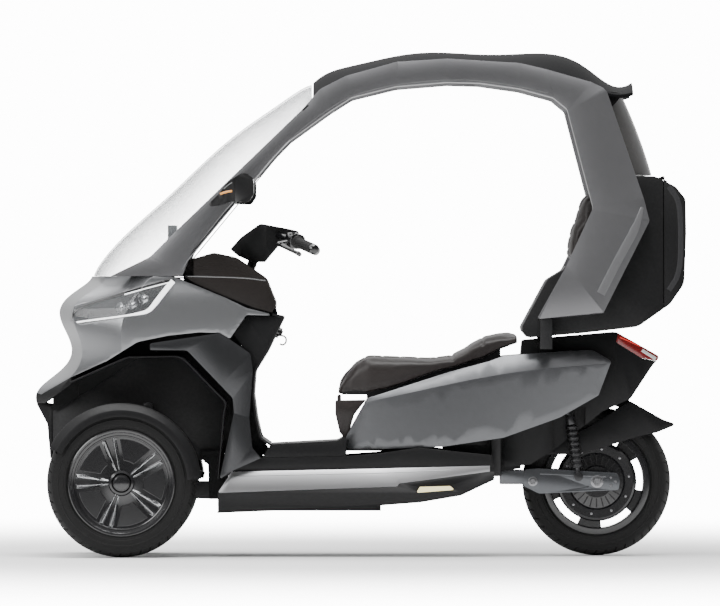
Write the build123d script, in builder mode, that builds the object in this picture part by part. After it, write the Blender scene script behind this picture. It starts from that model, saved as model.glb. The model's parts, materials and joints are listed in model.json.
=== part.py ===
from build123d import *
import os
from math import cos, radians, sin, tan

# Three-wheel electric motorcycle with a roof, two wheels in front and one behind.
# The vehicle faces -X and stands on z = 0. The origin is on the floor, midway between the ends
# and the sides. Sizes are millimetres. Points of the front end are measured from the front axle,
# and those of the rear end from the rear axle, so a change of wheelbase carries them along.

os.makedirs("parts", exist_ok=True)

# Wheels and stance
wheelbase = 1588.0
track = 560.0
tyre_radius = 249.0
front_tyre_width = 112.0
rear_tyre_width = 140.0
bead_radius = 165.0
flange_height = 13.0
rim_wall = 6.0
spoke_pairs = 5
tyre_wall = 9.0

# Steering geometry: every steering axis leans back by the same rake, so the links stay parallel
rake = 20.0
kingpin_y = 190.0
kingpin_radius = 11.0
steering_arm = 80.0
column_radius = 16.0
column_top_x = 469.0
column_top_z = 1083.0
pitman_y = 16.0
tie_rod_z = 285.0
tie_rod_radius = 7.0
pin_radius = 6.0
running_gap = 0.05

# Body
wall = 4.0
seam = 0.3
floor_half_width = 236.0
floor_plate = 14.0
core_half_width = 58.0

# Roof frame
frame_thickness = 55.0
frame_outer_y = 305.0
frame_base_z = 940.0
frame_lean = 3.0
glass = 6.0

# Seat and luggage case
seat_half_width = 165.0
case_wall = 6.0
door_gap = 3.0

# Swingarm and rear axle
axle_radius = 9.0
swingarm_y = 92.0
swingarm_plate = 20.0
spool_hole_radius = 3.4
spool_hole_depth = 16.0

front_axle_x = -wheelbase / 2
rear_axle_x = wheelbase / 2
axle_z = tyre_radius
wheel_y = track / 2
rake_axis = Vector(sin(radians(rake)), 0, cos(radians(rake)))
rake_back = Vector(cos(radians(rake)), 0, -sin(radians(rake)))


def front(x):
    return front_axle_x + x


def rear(x):
    return rear_axle_x + x


# Inner face of the leaning roof frames at height z.
def frame_inner_y(z):
    return frame_outer_y - frame_thickness - (z - frame_base_z) * tan(radians(frame_lean))


# Upright plane at y: its x is the vehicle's x and its y is height.
def side_plane(y):
    return Plane(origin=(0, y, 0), x_dir=(1, 0, 0), z_dir=(0, -1, 0))


# Flat face from rows of (x, z, corner radius); a radius too large for its corner is cut down
def closed_face(rows):
    points = [Vector(r[0], r[1]) for r in rows]
    radii = []
    for index, row in enumerate(rows):
        before = points[index - 1] - points[index]
        after = points[(index + 1) % len(points)] - points[index]
        room = 0.45 * min(before.length, after.length) * tan(radians(before.get_angle(after) / 2))
        radii.append(min(row[2], room))
    with BuildSketch(Plane.XY) as made:
        with BuildLine():
            FilletPolyline(*points, radius=radii, close=True)
        make_face()
    return made.sketch


# Solid with the side outline rows, from y_low to y_high, drawn in by inset.
def slab(rows, y_low, y_high, inset=0.0):
    outline = closed_face(rows)
    with BuildPart() as body:
        with BuildSketch(side_plane(y_high)):
            add(outline)
            if inset:
                offset(amount=-inset, kind=Kind.INTERSECTION)
        extrude(amount=y_high - y_low)
    return body.part


# Crowned band across the vehicle, drop thick.
def arc_band(y_half, z_edge, z_middle, drop):
    with BuildSketch(Plane.XY) as made:
        with BuildLine():
            ThreePointArc((-y_half, z_edge), (0, z_middle), (y_half, z_edge))
            Line((y_half, z_edge), (y_half, z_edge - drop))
            ThreePointArc((y_half, z_edge - drop), (0, z_middle - drop), (-y_half, z_edge - drop))
            Line((-y_half, z_edge - drop), (-y_half, z_edge))
        make_face()
    return made.sketch


# Round bar from a to b.
def tube(a, b, radius):
    start, end = Vector(*a), Vector(*b)
    with BuildPart() as bar:
        with BuildSketch(Plane(origin=start, z_dir=end - start)):
            Circle(radius)
        extrude(amount=(end - start).length)
    return bar.part


def mirrored(shape):
    return shape.mirror(Plane.XZ)


def save(shape, name):
    shape.label = name
    export_step(shape, f"parts/{name}.step")


# Tyres and wheels, each turned about its own axle line
def tyre(width, x, y, z):
    half = width / 2
    seat_y = 0.36 * width
    side_radius = (bead_radius + tyre_radius) / 2
    shoulder = tyre_radius - 0.13 * width
    with BuildPart() as made:
        with BuildSketch(Plane.XY):
            with BuildLine():
                Line((bead_radius, -seat_y), (bead_radius + 15, -seat_y))
                ThreePointArc((bead_radius + 15, -seat_y), (side_radius, -half), (shoulder, -0.42 * width))
                ThreePointArc((shoulder, -0.42 * width), (tyre_radius, 0), (shoulder, 0.42 * width))
                ThreePointArc((shoulder, 0.42 * width), (side_radius, half), (bead_radius + 15, seat_y))
                Line((bead_radius + 15, seat_y), (bead_radius, seat_y))
                Line((bead_radius, seat_y), (bead_radius, seat_y - tyre_wall))
                Line((bead_radius, seat_y - tyre_wall), (bead_radius + 15, seat_y - tyre_wall))
                Line((bead_radius + 15, seat_y - tyre_wall), (bead_radius + 30, half - 15))
                ThreePointArc((bead_radius + 30, half - 15), (tyre_radius - tyre_wall, 0),
                    (bead_radius + 30, 15 - half))
                Line((bead_radius + 30, 15 - half), (bead_radius + 15, tyre_wall - seat_y))
                Line((bead_radius + 15, tyre_wall - seat_y), (bead_radius, tyre_wall - seat_y))
                Line((bead_radius, tyre_wall - seat_y), (bead_radius, -seat_y))
            make_face()
        revolve(axis=Axis.Y)
    return made.part.moved(Location((x, y, z)))


# Barrel and flanges of a rim for a tyre of that width, as (radius, y).
def rim_rows(width):
    seat_y = 0.36 * width
    lip = seat_y + 5
    tall = bead_radius + flange_height
    return [
        (bead_radius - rim_wall, -lip),
        (tall, -lip),
        (tall, -seat_y),
        (bead_radius, -seat_y),
        (bead_radius, seat_y),
        (tall, seat_y),
        (tall, lip),
        (bead_radius - rim_wall, lip),
    ]


stub_radius = 12.5
hub_radius = 34.0
hub_inner_y = -30.0
hub_outer_y = 38.0
face_y = 30.0
face_thickness = 7.0
blade_height = 9.0
blade_width = 13.0
blade_gap = 9.0
disc_radius = 104.0
disc_thickness = 4.0
barrel_radius = bead_radius - rim_wall

# Front wheel with a dished cover, five pairs of raised blades and its brake disc, outer side +Y
with BuildPart() as front_wheel:
    with BuildSketch(Plane.XY):
        with BuildLine():
            Polyline(*rim_rows(front_tyre_width), close=True)
        make_face()
        with BuildLine():
            Polyline(
                (hub_radius - 2, face_y - face_thickness - 8),
                (barrel_radius + 1, face_y - face_thickness),
                (barrel_radius + 1, face_y),
                (hub_radius - 2, face_y - 8),
                close=True,
            )
        make_face()
    revolve(axis=Axis.Y)
    with BuildSketch(Plane.XZ.offset(-hub_outer_y)):
        Circle(hub_radius)
    extrude(amount=hub_outer_y - hub_inner_y)
    with BuildSketch(Plane.XZ.offset(-hub_inner_y - disc_thickness)):
        Circle(disc_radius)
    extrude(amount=disc_thickness)
    with BuildSketch(Plane.XZ.offset(8 - face_y)):
        with PolarLocations(0, spoke_pairs, start_angle=106):
            for side in (-1, 1):
                Polygon(
                    (hub_radius - 4, side * blade_gap * 0.3),
                    (barrel_radius, side * blade_gap * 0.8),
                    (barrel_radius, side * (blade_gap * 0.8 + blade_width)),
                    (hub_radius - 4, side * (blade_gap * 0.3 + blade_width * 0.6)),
                    align=None,
                )
    extrude(amount=-(blade_height + 8), taper=8)
    with BuildSketch(Plane.XZ.offset(-hub_inner_y)):
        Circle(stub_radius + running_gap)
    extrude(amount=-(hub_outer_y - hub_inner_y - 8), mode=Mode.SUBTRACT)

# Front tyre and wheel on both sides
for name, side in (("left", -1), ("right", 1)):
    turned = front_wheel.part if side > 0 else mirrored(front_wheel.part)
    save(turned.moved(Location((front_axle_x, side * wheel_y, axle_z))), f"front_wheel_{name}")
    save(tyre(front_tyre_width, front_axle_x, side * wheel_y, axle_z), f"front_tyre_{name}")

motor_radius = 134.0
motor_half = 42.0
slot_inner = 136.0
slot_count = 5
slot_span = 42.0
slot_start = 30.0

# Rear wheel: rim, five curved windows round the hub motor, and its brake disc
with BuildPart() as rear_wheel:
    with BuildSketch(Plane.XY):
        with BuildLine():
            Polyline(*rim_rows(rear_tyre_width), close=True)
        make_face()
        with BuildLine():
            Polyline(
                (16, -motor_half),
                (motor_radius - 10, -motor_half),
                (motor_radius, 10 - motor_half),
                (motor_radius, -13),
                (barrel_radius + 1, -13),
                (barrel_radius + 1, 13),
                (motor_radius, 13),
                (motor_radius, motor_half - 10),
                (motor_radius - 10, motor_half),
                (16, motor_half),
                close=True,
            )
        make_face()
    revolve(axis=Axis.Y)
    with BuildSketch(Plane.XZ.offset(-motor_half)):
        Circle(axle_radius + running_gap + 22)
        Circle(axle_radius + running_gap, mode=Mode.SUBTRACT)
    extrude(amount=2 * motor_half)
    with BuildSketch(Plane.XZ.offset(-20)):
        for index in range(slot_count):
            middle = slot_start - slot_span / 2 - 72 * index
            with BuildLine():
                outer = CenterArc((0, 0), barrel_radius - 1, middle - slot_span / 2, slot_span)
                inner = CenterArc((0, 0), slot_inner, middle - slot_span / 2, slot_span)
                Line(outer @ 0, inner @ 0)
                Line(outer @ 1, inner @ 1)
            make_face()
    extrude(amount=40, mode=Mode.SUBTRACT)

save(rear_wheel.part.moved(Location((rear_axle_x, 0, axle_z))), "rear_wheel")
save(tyre(rear_tyre_width, rear_axle_x, 0, axle_z), "rear_tyre")

# Knuckles: kingpin post, stub axle, steering arm and brake caliper, drawn square to the raked kingpin
post_radius = 20.0
post_half = 100.0
arm_t = 60.0
arm_thickness = 10.0
pin_tall = 14.0
kingpin_plane = Plane(origin=(front_axle_x, kingpin_y, axle_z), x_dir=rake_back, z_dir=rake_axis)
stub_plane = Plane(origin=(front_axle_x, kingpin_y, axle_z), x_dir=(1, 0, 0), z_dir=(0, 1, 0))
with BuildPart() as knuckle:
    with BuildSketch(kingpin_plane.offset(-post_half)):
        Circle(post_radius)
    extrude(amount=2 * post_half)
    with BuildSketch(stub_plane):
        Circle(26)
    extrude(amount=wheel_y + hub_inner_y - kingpin_y - 1 - disc_thickness)
    with BuildSketch(stub_plane):
        Circle(stub_radius)
    extrude(amount=wheel_y + hub_outer_y - 9 - kingpin_y)
    with BuildSketch(kingpin_plane.offset(arm_t - arm_thickness / 2)):
        Polygon(
            (0, -12),
            (steering_arm, pitman_y - 10),
            (steering_arm, pitman_y + 10),
            (0, 12),
            align=None,
        )
        with Locations((steering_arm, pitman_y)):
            Circle(12)
    extrude(amount=arm_thickness)
    with BuildSketch(kingpin_plane.offset(arm_t)):
        with Locations((steering_arm, pitman_y)):
            Circle(pin_radius)
    extrude(amount=arm_thickness / 2 + pin_tall)
    for end in (-1, 1):
        with BuildSketch(kingpin_plane.offset(end * post_half)):
            Circle(kingpin_radius + running_gap)
        extrude(amount=-end * 16, mode=Mode.SUBTRACT)
    with BuildSketch(stub_plane.offset(8)):
        with Locations((-95, 0)):
            Rectangle(60, 74)
    extrude(amount=wheel_y + hub_inner_y + 14 - kingpin_y - 8)
    with BuildSketch(stub_plane.offset(8)):
        with Locations((-45, 0)):
            Rectangle(60, 30)
    extrude(amount=14)
    with BuildSketch(stub_plane.offset(wheel_y + hub_inner_y - disc_thickness - 2 - kingpin_y)):
        Circle(disc_radius + 4)
        Circle(26.5, mode=Mode.SUBTRACT)
    extrude(amount=disc_thickness + 4 + 4, mode=Mode.SUBTRACT)

# Front mudguard: an arc round the tyre with an outer skirt and a stay down to the knuckle
guard_inner = 256.0
guard_thickness = 4.0
guard_half = 66.0
guard_start = 3.0
guard_sweep = 151.0
guard_skirt = 220.0
stay_y = kingpin_y + post_radius + seam
with BuildPart() as front_guard:
    with BuildSketch(Plane.XY):
        with BuildLine():
            FilletPolyline(
                (guard_inner - 8, -guard_half),
                (guard_inner + guard_thickness + 4, -guard_half),
                (guard_inner + guard_thickness + 6, guard_half - 22),
                (guard_inner - 14, guard_half + 2),
                (guard_skirt, guard_half + 4),
                (guard_skirt, guard_half + 4 - guard_thickness),
                (guard_inner - 16, guard_half - 2),
                (guard_inner + 1, guard_half - 24),
                (guard_inner, guard_thickness - guard_half),
                (guard_inner - 8, guard_thickness - guard_half),
                radius=0,
                close=True,
            )
        make_face()
    revolve(axis=Axis((0, 0, 0), (0, -1, 0)), revolution_arc=guard_sweep)
front_guard_arc = front_guard.part.rotate(Axis((0, 0, 0), (0, -1, 0)), guard_start)
with BuildPart() as front_fender:
    add(front_guard_arc.moved(Location((front_axle_x, wheel_y, axle_z))))
    with BuildSketch(side_plane(wheel_y - guard_half + 1)):
        Polygon(
            (front(20), axle_z + 40),
            (front(60), axle_z + 30),
            (front(120), axle_z + guard_inner - 30),
            (front(60), axle_z + guard_inner - 10),
            align=None,
        )
    extrude(amount=wheel_y - guard_half + 1 - stay_y)

for name, side in (("left", -1), ("right", 1)):
    save(knuckle.part if side > 0 else mirrored(knuckle.part), f"knuckle_{name}")
    save(front_fender.part if side > 0 else mirrored(front_fender.part), f"front_fender_{name}")

# Tie rods between the drop arm of the column and the knuckles' steering arms
column_foot_t = -(column_top_z - axle_z - arm_t * cos(radians(rake))) / cos(radians(rake))
column_plane = Plane(origin=(front(column_top_x), 0, column_top_z), x_dir=rake_back, z_dir=rake_axis)
drop_plane = column_plane.offset(column_foot_t)
eye_radius = 13.0
eye_thickness = 11.0
rod_lift = arm_thickness / 2 + seam
knuckle_eye = kingpin_plane.offset(arm_t + rod_lift).from_local_coords(Vector(steering_arm, pitman_y, 0))
drop_eye = drop_plane.offset(-rod_lift - eye_thickness).from_local_coords(Vector(steering_arm, pitman_y, 0))
with BuildPart() as tie_rod:
    for eye in (knuckle_eye, drop_eye):
        with BuildSketch(Plane(origin=eye, x_dir=rake_back, z_dir=rake_axis)):
            Circle(eye_radius)
        extrude(amount=eye_thickness)
    lift = rake_axis * (eye_thickness / 2)
    add(tube(knuckle_eye + lift, drop_eye + lift, tie_rod_radius - 2))
    for eye in (knuckle_eye, drop_eye):
        with BuildSketch(Plane(origin=eye - lift, x_dir=rake_back, z_dir=rake_axis)):
            Circle(pin_radius + running_gap)
        extrude(amount=3 * eye_thickness, mode=Mode.SUBTRACT)
save(tie_rod.part, "tie_rod_right")
save(mirrored(tie_rod.part), "tie_rod_left")

# Steering column with its drop arm and the two tie-rod pins
with BuildPart() as steering_column:
    with BuildSketch(drop_plane.offset(-arm_thickness / 2)):
        Circle(column_radius)
    extrude(amount=-column_foot_t + arm_thickness / 2 - 20)
    with BuildSketch(drop_plane.offset(-arm_thickness / 2)):
        Circle(column_radius + 6)
        with Locations((steering_arm / 2, 0)):
            Rectangle(steering_arm, 26)
        with Locations((steering_arm, 0)):
            Rectangle(24, 2 * pitman_y)
        with Locations((steering_arm, pitman_y), (steering_arm, -pitman_y)):
            Circle(12)
    extrude(amount=arm_thickness)
    with BuildSketch(drop_plane):
        with Locations((steering_arm, pitman_y), (steering_arm, -pitman_y)):
            Circle(pin_radius)
    extrude(amount=-arm_thickness / 2 - pin_tall)
save(steering_column.part, "steering_column")

# Handlebar, grips and levers, with the cover over the clamp
bar_radius = 11.0
grip_radius = 17.0
grip_inner = Vector(front(585), 215, 1052)
grip_outer = Vector(front(640), 345, 1027)
bar_points = [Vector(front(column_top_x + 3), 0, 1078), Vector(front(505), 80, 1080), grip_inner,
    grip_outer]
with BuildPart() as handlebar:
    for a, b in zip(bar_points, bar_points[1:]):
        add(tube(a, b, bar_radius))
        if b is not grip_outer:
            with Locations(b):
                Sphere(bar_radius)
    mirror(about=Plane.XZ)
    with BuildSketch(column_plane.offset(-20 + seam)):
        RectangleRounded(60, 50, 10)
    extrude(amount=26)
save(handlebar.part, "handlebar")


# Tube wall round the line a to b.
def sleeve(a, b, outer, bore):
    start, end = Vector(*a), Vector(*b)
    with BuildPart() as made:
        with BuildSketch(Plane(origin=start, z_dir=end - start)):
            Circle(outer)
            Circle(bore, mode=Mode.SUBTRACT)
        extrude(amount=(end - start).length)
    return made.part


grip_way = (grip_outer - grip_inner).normalized()
with BuildPart() as grips:
    add(sleeve(grip_inner + grip_way * 8, grip_outer + grip_way * 6, grip_radius, bar_radius))
    with BuildSketch(Plane(origin=grip_outer + grip_way * 6, z_dir=grip_way)):
        Circle(grip_radius + 1)
    extrude(amount=9)
    mirror(about=Plane.XZ)
save(grips.part, "grips")

lever_root = grip_inner - grip_way * 28
with BuildPart() as switchgear:
    with BuildSketch(Plane(origin=grip_inner - grip_way * 46, x_dir=(0, 0, 1), z_dir=grip_way)):
        RectangleRounded(46, 50, 12)
        Circle(bar_radius, mode=Mode.SUBTRACT)
    extrude(amount=46)
    add(handlebar.part, mode=Mode.SUBTRACT)
    add(tube(lever_root + Vector(-20, 0, -4), lever_root + Vector(-56, 20, -12), 7))
    add(tube(lever_root + Vector(-54, 18, -12), grip_outer + Vector(-52, -14, -14), 6))
    with Locations(grip_outer + Vector(-52, -14, -14)):
        Sphere(8)
    mirror(about=Plane.XZ)
save(switchgear.part, "switchgear")

cover_rows = [
    (front(358), 1028, 6),
    (front(395), 1068, 20),
    (front(460), 1114, 22),
    (front(556), 1096, 12),
    (front(590), 1088, 8),
    (front(585), 1062, 8),
    (front(520), 1040, 30),
    (front(474), 985, 6),
    (front(430), 985, 14),
    (front(385), 1005, 10),
]
cover_plan = [(358, 60), (395, 96), (480, 120), (590, 92)]
with BuildPart() as handlebar_cover:
    add(slab(cover_rows, -130, 130))
    with BuildSketch(Plane.XY.offset(900)):
        right = [(front(x), y) for x, y in cover_plan]
        left = [(front(x), -y) for x, y in reversed(cover_plan)]
        Polygon(*right, *left, align=None)
    extrude(amount=300, mode=Mode.INTERSECT)
    with BuildSketch(column_plane.offset(-400)):
        Circle(column_radius)
    extrude(amount=400 - 20, mode=Mode.SUBTRACT)
    add(handlebar.part, mode=Mode.SUBTRACT)
save(handlebar_cover.part, "handlebar_cover")


def front_rows(rows):
    return [(front(r[0]), r[1], r[2] if len(r) > 2 else 0) for r in rows]


def rear_rows(rows):
    return [(rear(r[0]), r[1], r[2] if len(r) > 2 else 0) for r in rows]


def mid_rows(rows):
    return [(r[0], r[1], r[2] if len(r) > 2 else 0) for r in rows]


# Upright prism of a plan outline, given as rows of (x, y)
def prism(points, z_low, z_high):
    with BuildPart() as made:
        with BuildSketch(Plane.XY.offset(z_low)):
            Polygon(*points, align=None)
        extrude(amount=z_high - z_low)
    return made.part


def box(x_low, x_high, y_low, y_high, z_low, z_high):
    return prism([(x_low, y_low), (x_high, y_low), (x_high, y_high), (x_low, y_high)], z_low, z_high)


# Both the shape and its image across the middle plane
def both(shape):
    return Compound([shape, mirrored(shape)])


# Front core: a hollow box between the front wheels, with the slot for the tie rods
core_wall = 5.0
shock_y = 92.0
shock_half = 9.0
core_rows = front_rows(
    [(-236, 330, 20), (-170, 205, 30), (300, 190, 10), (311, 332, 4), (352, 346, 6), (374, 480, 20)]
    + [(372, 700, 10), (330, 736, 10), (156, 728, 40), (54, 706, 40), (-48, 640, 60), (-150, 585, 20)]
    + [(-200, 538, 10), (-236, 500, 10)]
)
head_radius = 26.0
with BuildPart() as front_core:
    add(slab(core_rows, -core_half_width, core_half_width))
    add(slab(core_rows, core_wall - core_half_width, core_half_width - core_wall, inset=core_wall),
        mode=Mode.SUBTRACT)
    add(box(front(96), front(300), -80, 80, tie_rod_z - 36, tie_rod_z + 36), mode=Mode.SUBTRACT)
    with BuildSketch(column_plane.offset(-700)):
        Circle(head_radius)
    extrude(amount=600, mode=Mode.SUBTRACT)
    add(both(box(front(68), front(100), core_half_width, shock_y - shock_half, 489, 511)))
save(front_core.part, "front_core")

head_top_t = -360.0
head_low_t = -690.0
with BuildPart() as head_tube:
    with BuildSketch(column_plane.offset(head_low_t)):
        Circle(head_radius)
        Circle(column_radius + running_gap, mode=Mode.SUBTRACT)
    extrude(amount=head_top_t - head_low_t)
save(head_tube.part, "head_tube")

# Suspension arms: an upper and a lower wishbone on each side with the kingpins
pin_depth = 15.0
boss_height = 14.0
arm_foot_y = core_half_width
arm_spread = 62.0
shock_foot_z = 171.0
with BuildPart() as wishbones:
    for end in (-1, 1):
        with BuildSketch(kingpin_plane.offset(end * (post_half + seam))):
            Circle(post_radius)
        extrude(amount=end * boss_height)
        tip = kingpin_plane.from_local_coords(Vector(0, 0, end * (post_half + boss_height / 2)))
        foot_z = tip.Z + end * 6
        for way in (-1, 1):
            add(tube(tip + Vector(way * 8, -6, 0), Vector(tip.X + way * arm_spread, arm_foot_y, foot_z),
                6.5))
        span = arm_spread + 14
        add(tube((tip.X - span, arm_foot_y + 8, foot_z), (tip.X + span, arm_foot_y + 8, foot_z), 8))
    add(box(front(-74), front(4), 118, 142, shock_foot_z - 26, shock_foot_z - 15))
    with BuildSketch(kingpin_plane.offset(-post_half - seam)):
        Circle(post_radius + 10)
    extrude(amount=2 * (post_half + seam), mode=Mode.SUBTRACT)
    for end in (-1, 1):
        with BuildSketch(kingpin_plane.offset(end * (post_half - pin_depth))):
            Circle(kingpin_radius)
        extrude(amount=end * (pin_depth + boss_height))
    add(box(-2000, 0, 0, arm_foot_y, 0, 600), mode=Mode.SUBTRACT)
save(both(wishbones.part), "wishbones")


# Spring damper from a to b: a turned wavy spring round its body, with an eye at each end
def damper(a, b, coil_radius, coils, eye_half):
    start, end = Vector(*a), Vector(*b)
    way = end - start
    length = way.length
    side = Vector(0, 1, 0).cross(way)
    first, last = 30.0, length - 45.0
    pitch = (last - first) / coils
    with BuildPart() as made:
        with BuildSketch(Plane(origin=start, x_dir=way.cross(side), z_dir=side)):
            with BuildLine():
                points = [(0, 14), (8, 14), (8, first), (coil_radius - 6, first)]
                for index in range(coils):
                    points += [(coil_radius, first + (index + 0.35) * pitch),
                        (coil_radius, first + (index + 0.6) * pitch)]
                    points += [(coil_radius - 6, first + (index + 0.95) * pitch)]
                points += [(coil_radius - 6, last), (14, last), (14, length - 14), (0, length - 14)]
                Polyline(*points, close=True)
            make_face()
        revolve(axis=Axis(start, way))
        for eye in (start, end):
            with BuildSketch(Plane(origin=eye + Vector(0, eye_half, 0), x_dir=(1, 0, 0), z_dir=(0, -1, 0))):
                Circle(15)
            extrude(amount=2 * eye_half)
    return made.part


save(both(damper((front(-20), 130, shock_foot_z),
    (front(84), shock_y, 500), 23, 9, shock_half)), "front_shocks")

# Fairing body: plan sections by height as z, nose x, nose half, cheek x, cheek half, shoulder x, side half, rear x
fairing_table = [
    (500, -286, 54, -214, 140, -80, 236, 430),
    (530, -294, 56, -214, 152, -80, 246, 430),
    (600, -238, 66, -172, 190, -40, 282, 430),
    (686, -173, 76, -132, 226, 0, 304, 440),
    (760, -196, 86, -152, 234, 0, 311, 470),
    (826, -212, 86, -162, 226, 20, 307, 520),
    (884, -165, 80, -112, 206, 60, 306, 520),
    (938, -105, 70, -60, 184, 110, 304, 520),
]


# Body of the fairing drawn in by inset on every side
def fairing_body(inset=0.0):
    with BuildPart() as made:
        for z, nose_x, nose_y, cheek_x, cheek_y, shoulder_x, side_y, end_x in fairing_table:
            with BuildSketch(Plane.XY.offset(z)):
                Polygon(
                    (front(nose_x), -nose_y),
                    (front(nose_x), nose_y),
                    (front(cheek_x), cheek_y),
                    (front(shoulder_x), side_y),
                    (front(end_x), side_y - 40),
                    (front(end_x), 40 - side_y),
                    (front(shoulder_x), -side_y),
                    (front(cheek_x), -cheek_y),
                    align=None,
                )
                if inset:
                    offset(amount=-inset, kind=Kind.INTERSECTION)
        loft()
    return made.part


fairing_outer = fairing_body()
fairing_inner = fairing_body(wall)
fairing_rows = front_rows(
    [(-330, 560), (-275, 541, 8), (-175, 598, 20), (-48, 655, 60), (54, 718, 60), (156, 739, 40),
        (258, 750, 40)]
    + [(324, 748, 12), (360, 728, 8), (416, 808, 12), (492, 806), (492, 812), (416, 831, 20),
        (348, 864, 40), (245, 907, 30), (164, 937)]
    + [(-330, 937)]
)
lamp_rows = front_rows([(-174, 789, 4), (-164, 836, 4), (138, 922, 30), (186, 932, 4), (82, 812, 12),
    (-137, 778, 8)])
lamp_side = slab(lamp_rows, -400, 400)
lamp_side_small = slab(lamp_rows, -400, 400, inset=seam)
with BuildPart() as front_fairing:
    add(fairing_outer)
    add(fairing_inner, mode=Mode.SUBTRACT)
    add(slab(fairing_rows, -400, 400), mode=Mode.INTERSECT)
    add(lamp_side, mode=Mode.SUBTRACT)
save(front_fairing.part, "front_fairing")

with BuildPart() as headlights:
    add(fairing_outer)
    add(fairing_inner, mode=Mode.SUBTRACT)
    add(lamp_side_small, mode=Mode.INTERSECT)
save(headlights.part, "headlights")

bucket_outer = fairing_body(40)
with BuildPart() as lamp_buckets:
    add(bucket_outer)
    add(fairing_body(43), mode=Mode.SUBTRACT)
    add(lamp_side_small, mode=Mode.INTERSECT)
save(lamp_buckets.part, "lamp_buckets")

# Chin under the fairing's nose, and the beak that closes the front between the wheels
chin_rows = front_rows([(-330, 512), (-262, 512, 10), (-171, 577, 6), (-171, 596), (-176, 597.4),
    (-275, 540.6, 8), (-330, 559.6)])
beak_rows = front_rows([(-294, 522, 6), (-290, 506, 20), (-255, 441, 20), (-245, 325, 8), (-238, 330),
    (-236, 508)])
with BuildPart() as nose_beak:
    add(fairing_outer)
    add(fairing_body(wall), mode=Mode.SUBTRACT)
    add(slab(chin_rows, -400, 400), mode=Mode.INTERSECT)
save(nose_beak.part, "chin")
with BuildPart() as beak:
    add(slab(beak_rows, -core_half_width, core_half_width))
    with BuildSketch(Plane.XY.offset(300)):
        Polygon(
            (front(-300), -34), (front(-300), 34), (front(-240), 58), (front(-230), 58),
            (front(-230), -58), (front(-240), -58), align=None,
        )
    extrude(amount=300, mode=Mode.INTERSECT)
    add(slab(core_rows, -80, 80), mode=Mode.SUBTRACT)
    add(nose_beak.part, mode=Mode.SUBTRACT)
save(beak.part, "nose_beak")

# Windscreen: crowned bands between the leaning frames as F x, edge z, middle z
screen_table = [
    (-100, 860, 938),
    (-32, 930, 1038),
    (95, 990, 1158),
    (180, 1078, 1235),
    (340, 1230, 1384),
    (446, 1333, 1464),
    (552, 1436, 1537),
    (632, 1524, 1580),
]
with BuildPart() as screen:
    for x, z_edge, z_middle in screen_table:
        band = arc_band(frame_inner_y(z_edge) - seam, z_edge, z_middle, glass * 1.4)
        with BuildSketch(Plane(origin=(front(x), 0, 0), x_dir=(0, 1, 0), z_dir=(1, 0, 0))):
            add(band)
    loft()
    add(box(-1200, 200, -400, 400, 938, 1600), mode=Mode.INTERSECT)
save(screen.part, "windscreen")

# Roof frames: windscreen pillar, roof rail and rear pillar in one arch on each side
arch_rows = (
    front_rows([(-46, 932), (95, 1001, 60), (180, 1086, 80), (604, 1495, 80), (660, 1560, 40)])
    + mid_rows([(-48, 1604, 60), (122, 1651, 60), (292, 1662, 60), (533, 1647, 60), (626, 1625, 60),
        (772, 1583, 20), (811, 1564, 6)])
    + rear_rows([(29, 1551, 6), (151, 1195, 20), (170, 1120, 20), (17, 816, 6), (-206, 794, 6),
        (-107, 972, 20), (-18, 1165, 30)])
    + rear_rows([(-104, 1494, 20), (-150, 1532, 20)])
    + mid_rows([(533, 1562, 40), (398, 1581, 60), (292, 1584, 60), (122, 1570, 60), (-26, 1534, 60)])
    + front_rows([(694, 1487, 40), (552, 1384, 60), (340, 1151, 60), (233, 1017, 20), (201, 932)])
)
frame_plane = Plane(
    origin=(0, frame_outer_y, frame_base_z),
    x_dir=(1, 0, 0),
    z_dir=(0, -cos(radians(frame_lean)), -sin(radians(frame_lean))),
)
arch_face = closed_face([(r[0], (r[1] - frame_base_z) / cos(radians(frame_lean)), r[2]) for r in arch_rows])
with BuildPart() as roof_frame:
    with BuildSketch(frame_plane):
        add(arch_face)
    extrude(amount=frame_thickness * cos(radians(frame_lean)))
    add(box(front(-100), front(260), 200, 400, 850, frame_base_z - 3), mode=Mode.SUBTRACT)
save(both(roof_frame.part), "roof_frames")

# Roof panel with its rear spoiler: x, edge z, middle z
roof_table = [
    (-157, 1532, 1587),
    (-6, 1600, 1650),
    (122, 1638, 1678),
    (292, 1650, 1689),
    (533, 1634, 1685),
    (722, 1590, 1661),
    (779, 1566, 1624),
    (912, 1552, 1588),
]
roof_sheet = 12.0
with BuildPart() as roof_panel:
    for x, z_edge, z_middle in roof_table:
        band = arc_band(frame_inner_y(z_edge) - seam, z_edge, z_middle, roof_sheet)
        with BuildSketch(Plane(origin=(x, 0, 0), x_dir=(0, 1, 0), z_dir=(1, 0, 0))):
            add(band)
    loft()
save(roof_panel.part, "roof_panel")


# Plan of the rear window at one height: straight front edge, bowed rear
def bow(x_front, x_rear, y_half):
    with BuildSketch(Plane.XY) as made:
        with BuildLine():
            Line((x_front, -y_half), (x_front, y_half))
            ThreePointArc((x_front, y_half), (x_rear, 0), (x_front, -y_half))
        make_face()
    return made.sketch


window_table = [(1276, 84, 186), (1400, 46, 146), (1539, 4, 88)]
with BuildPart() as rear_window:
    for z, x_front, x_rear in window_table:
        face = bow(rear(x_front), rear(x_rear), frame_inner_y(z) - seam)
        with BuildSketch(Plane.XY.offset(z)):
            add(face)
    loft()
with BuildPart() as window_core:
    for z, x_front, x_rear in [(1270, 86, 187.8), (1400, 46, 146), (1545, 2.3, 85.6)]:
        face = bow(rear(x_front - glass), rear(x_rear - glass), frame_inner_y(z) - seam - 0.2)
        with BuildSketch(Plane.XY.offset(z)):
            add(face)
    loft()
with BuildPart() as window:
    add(rear_window.part)
    add(window_core.part, mode=Mode.SUBTRACT)
save(window.part, "rear_window")

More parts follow.
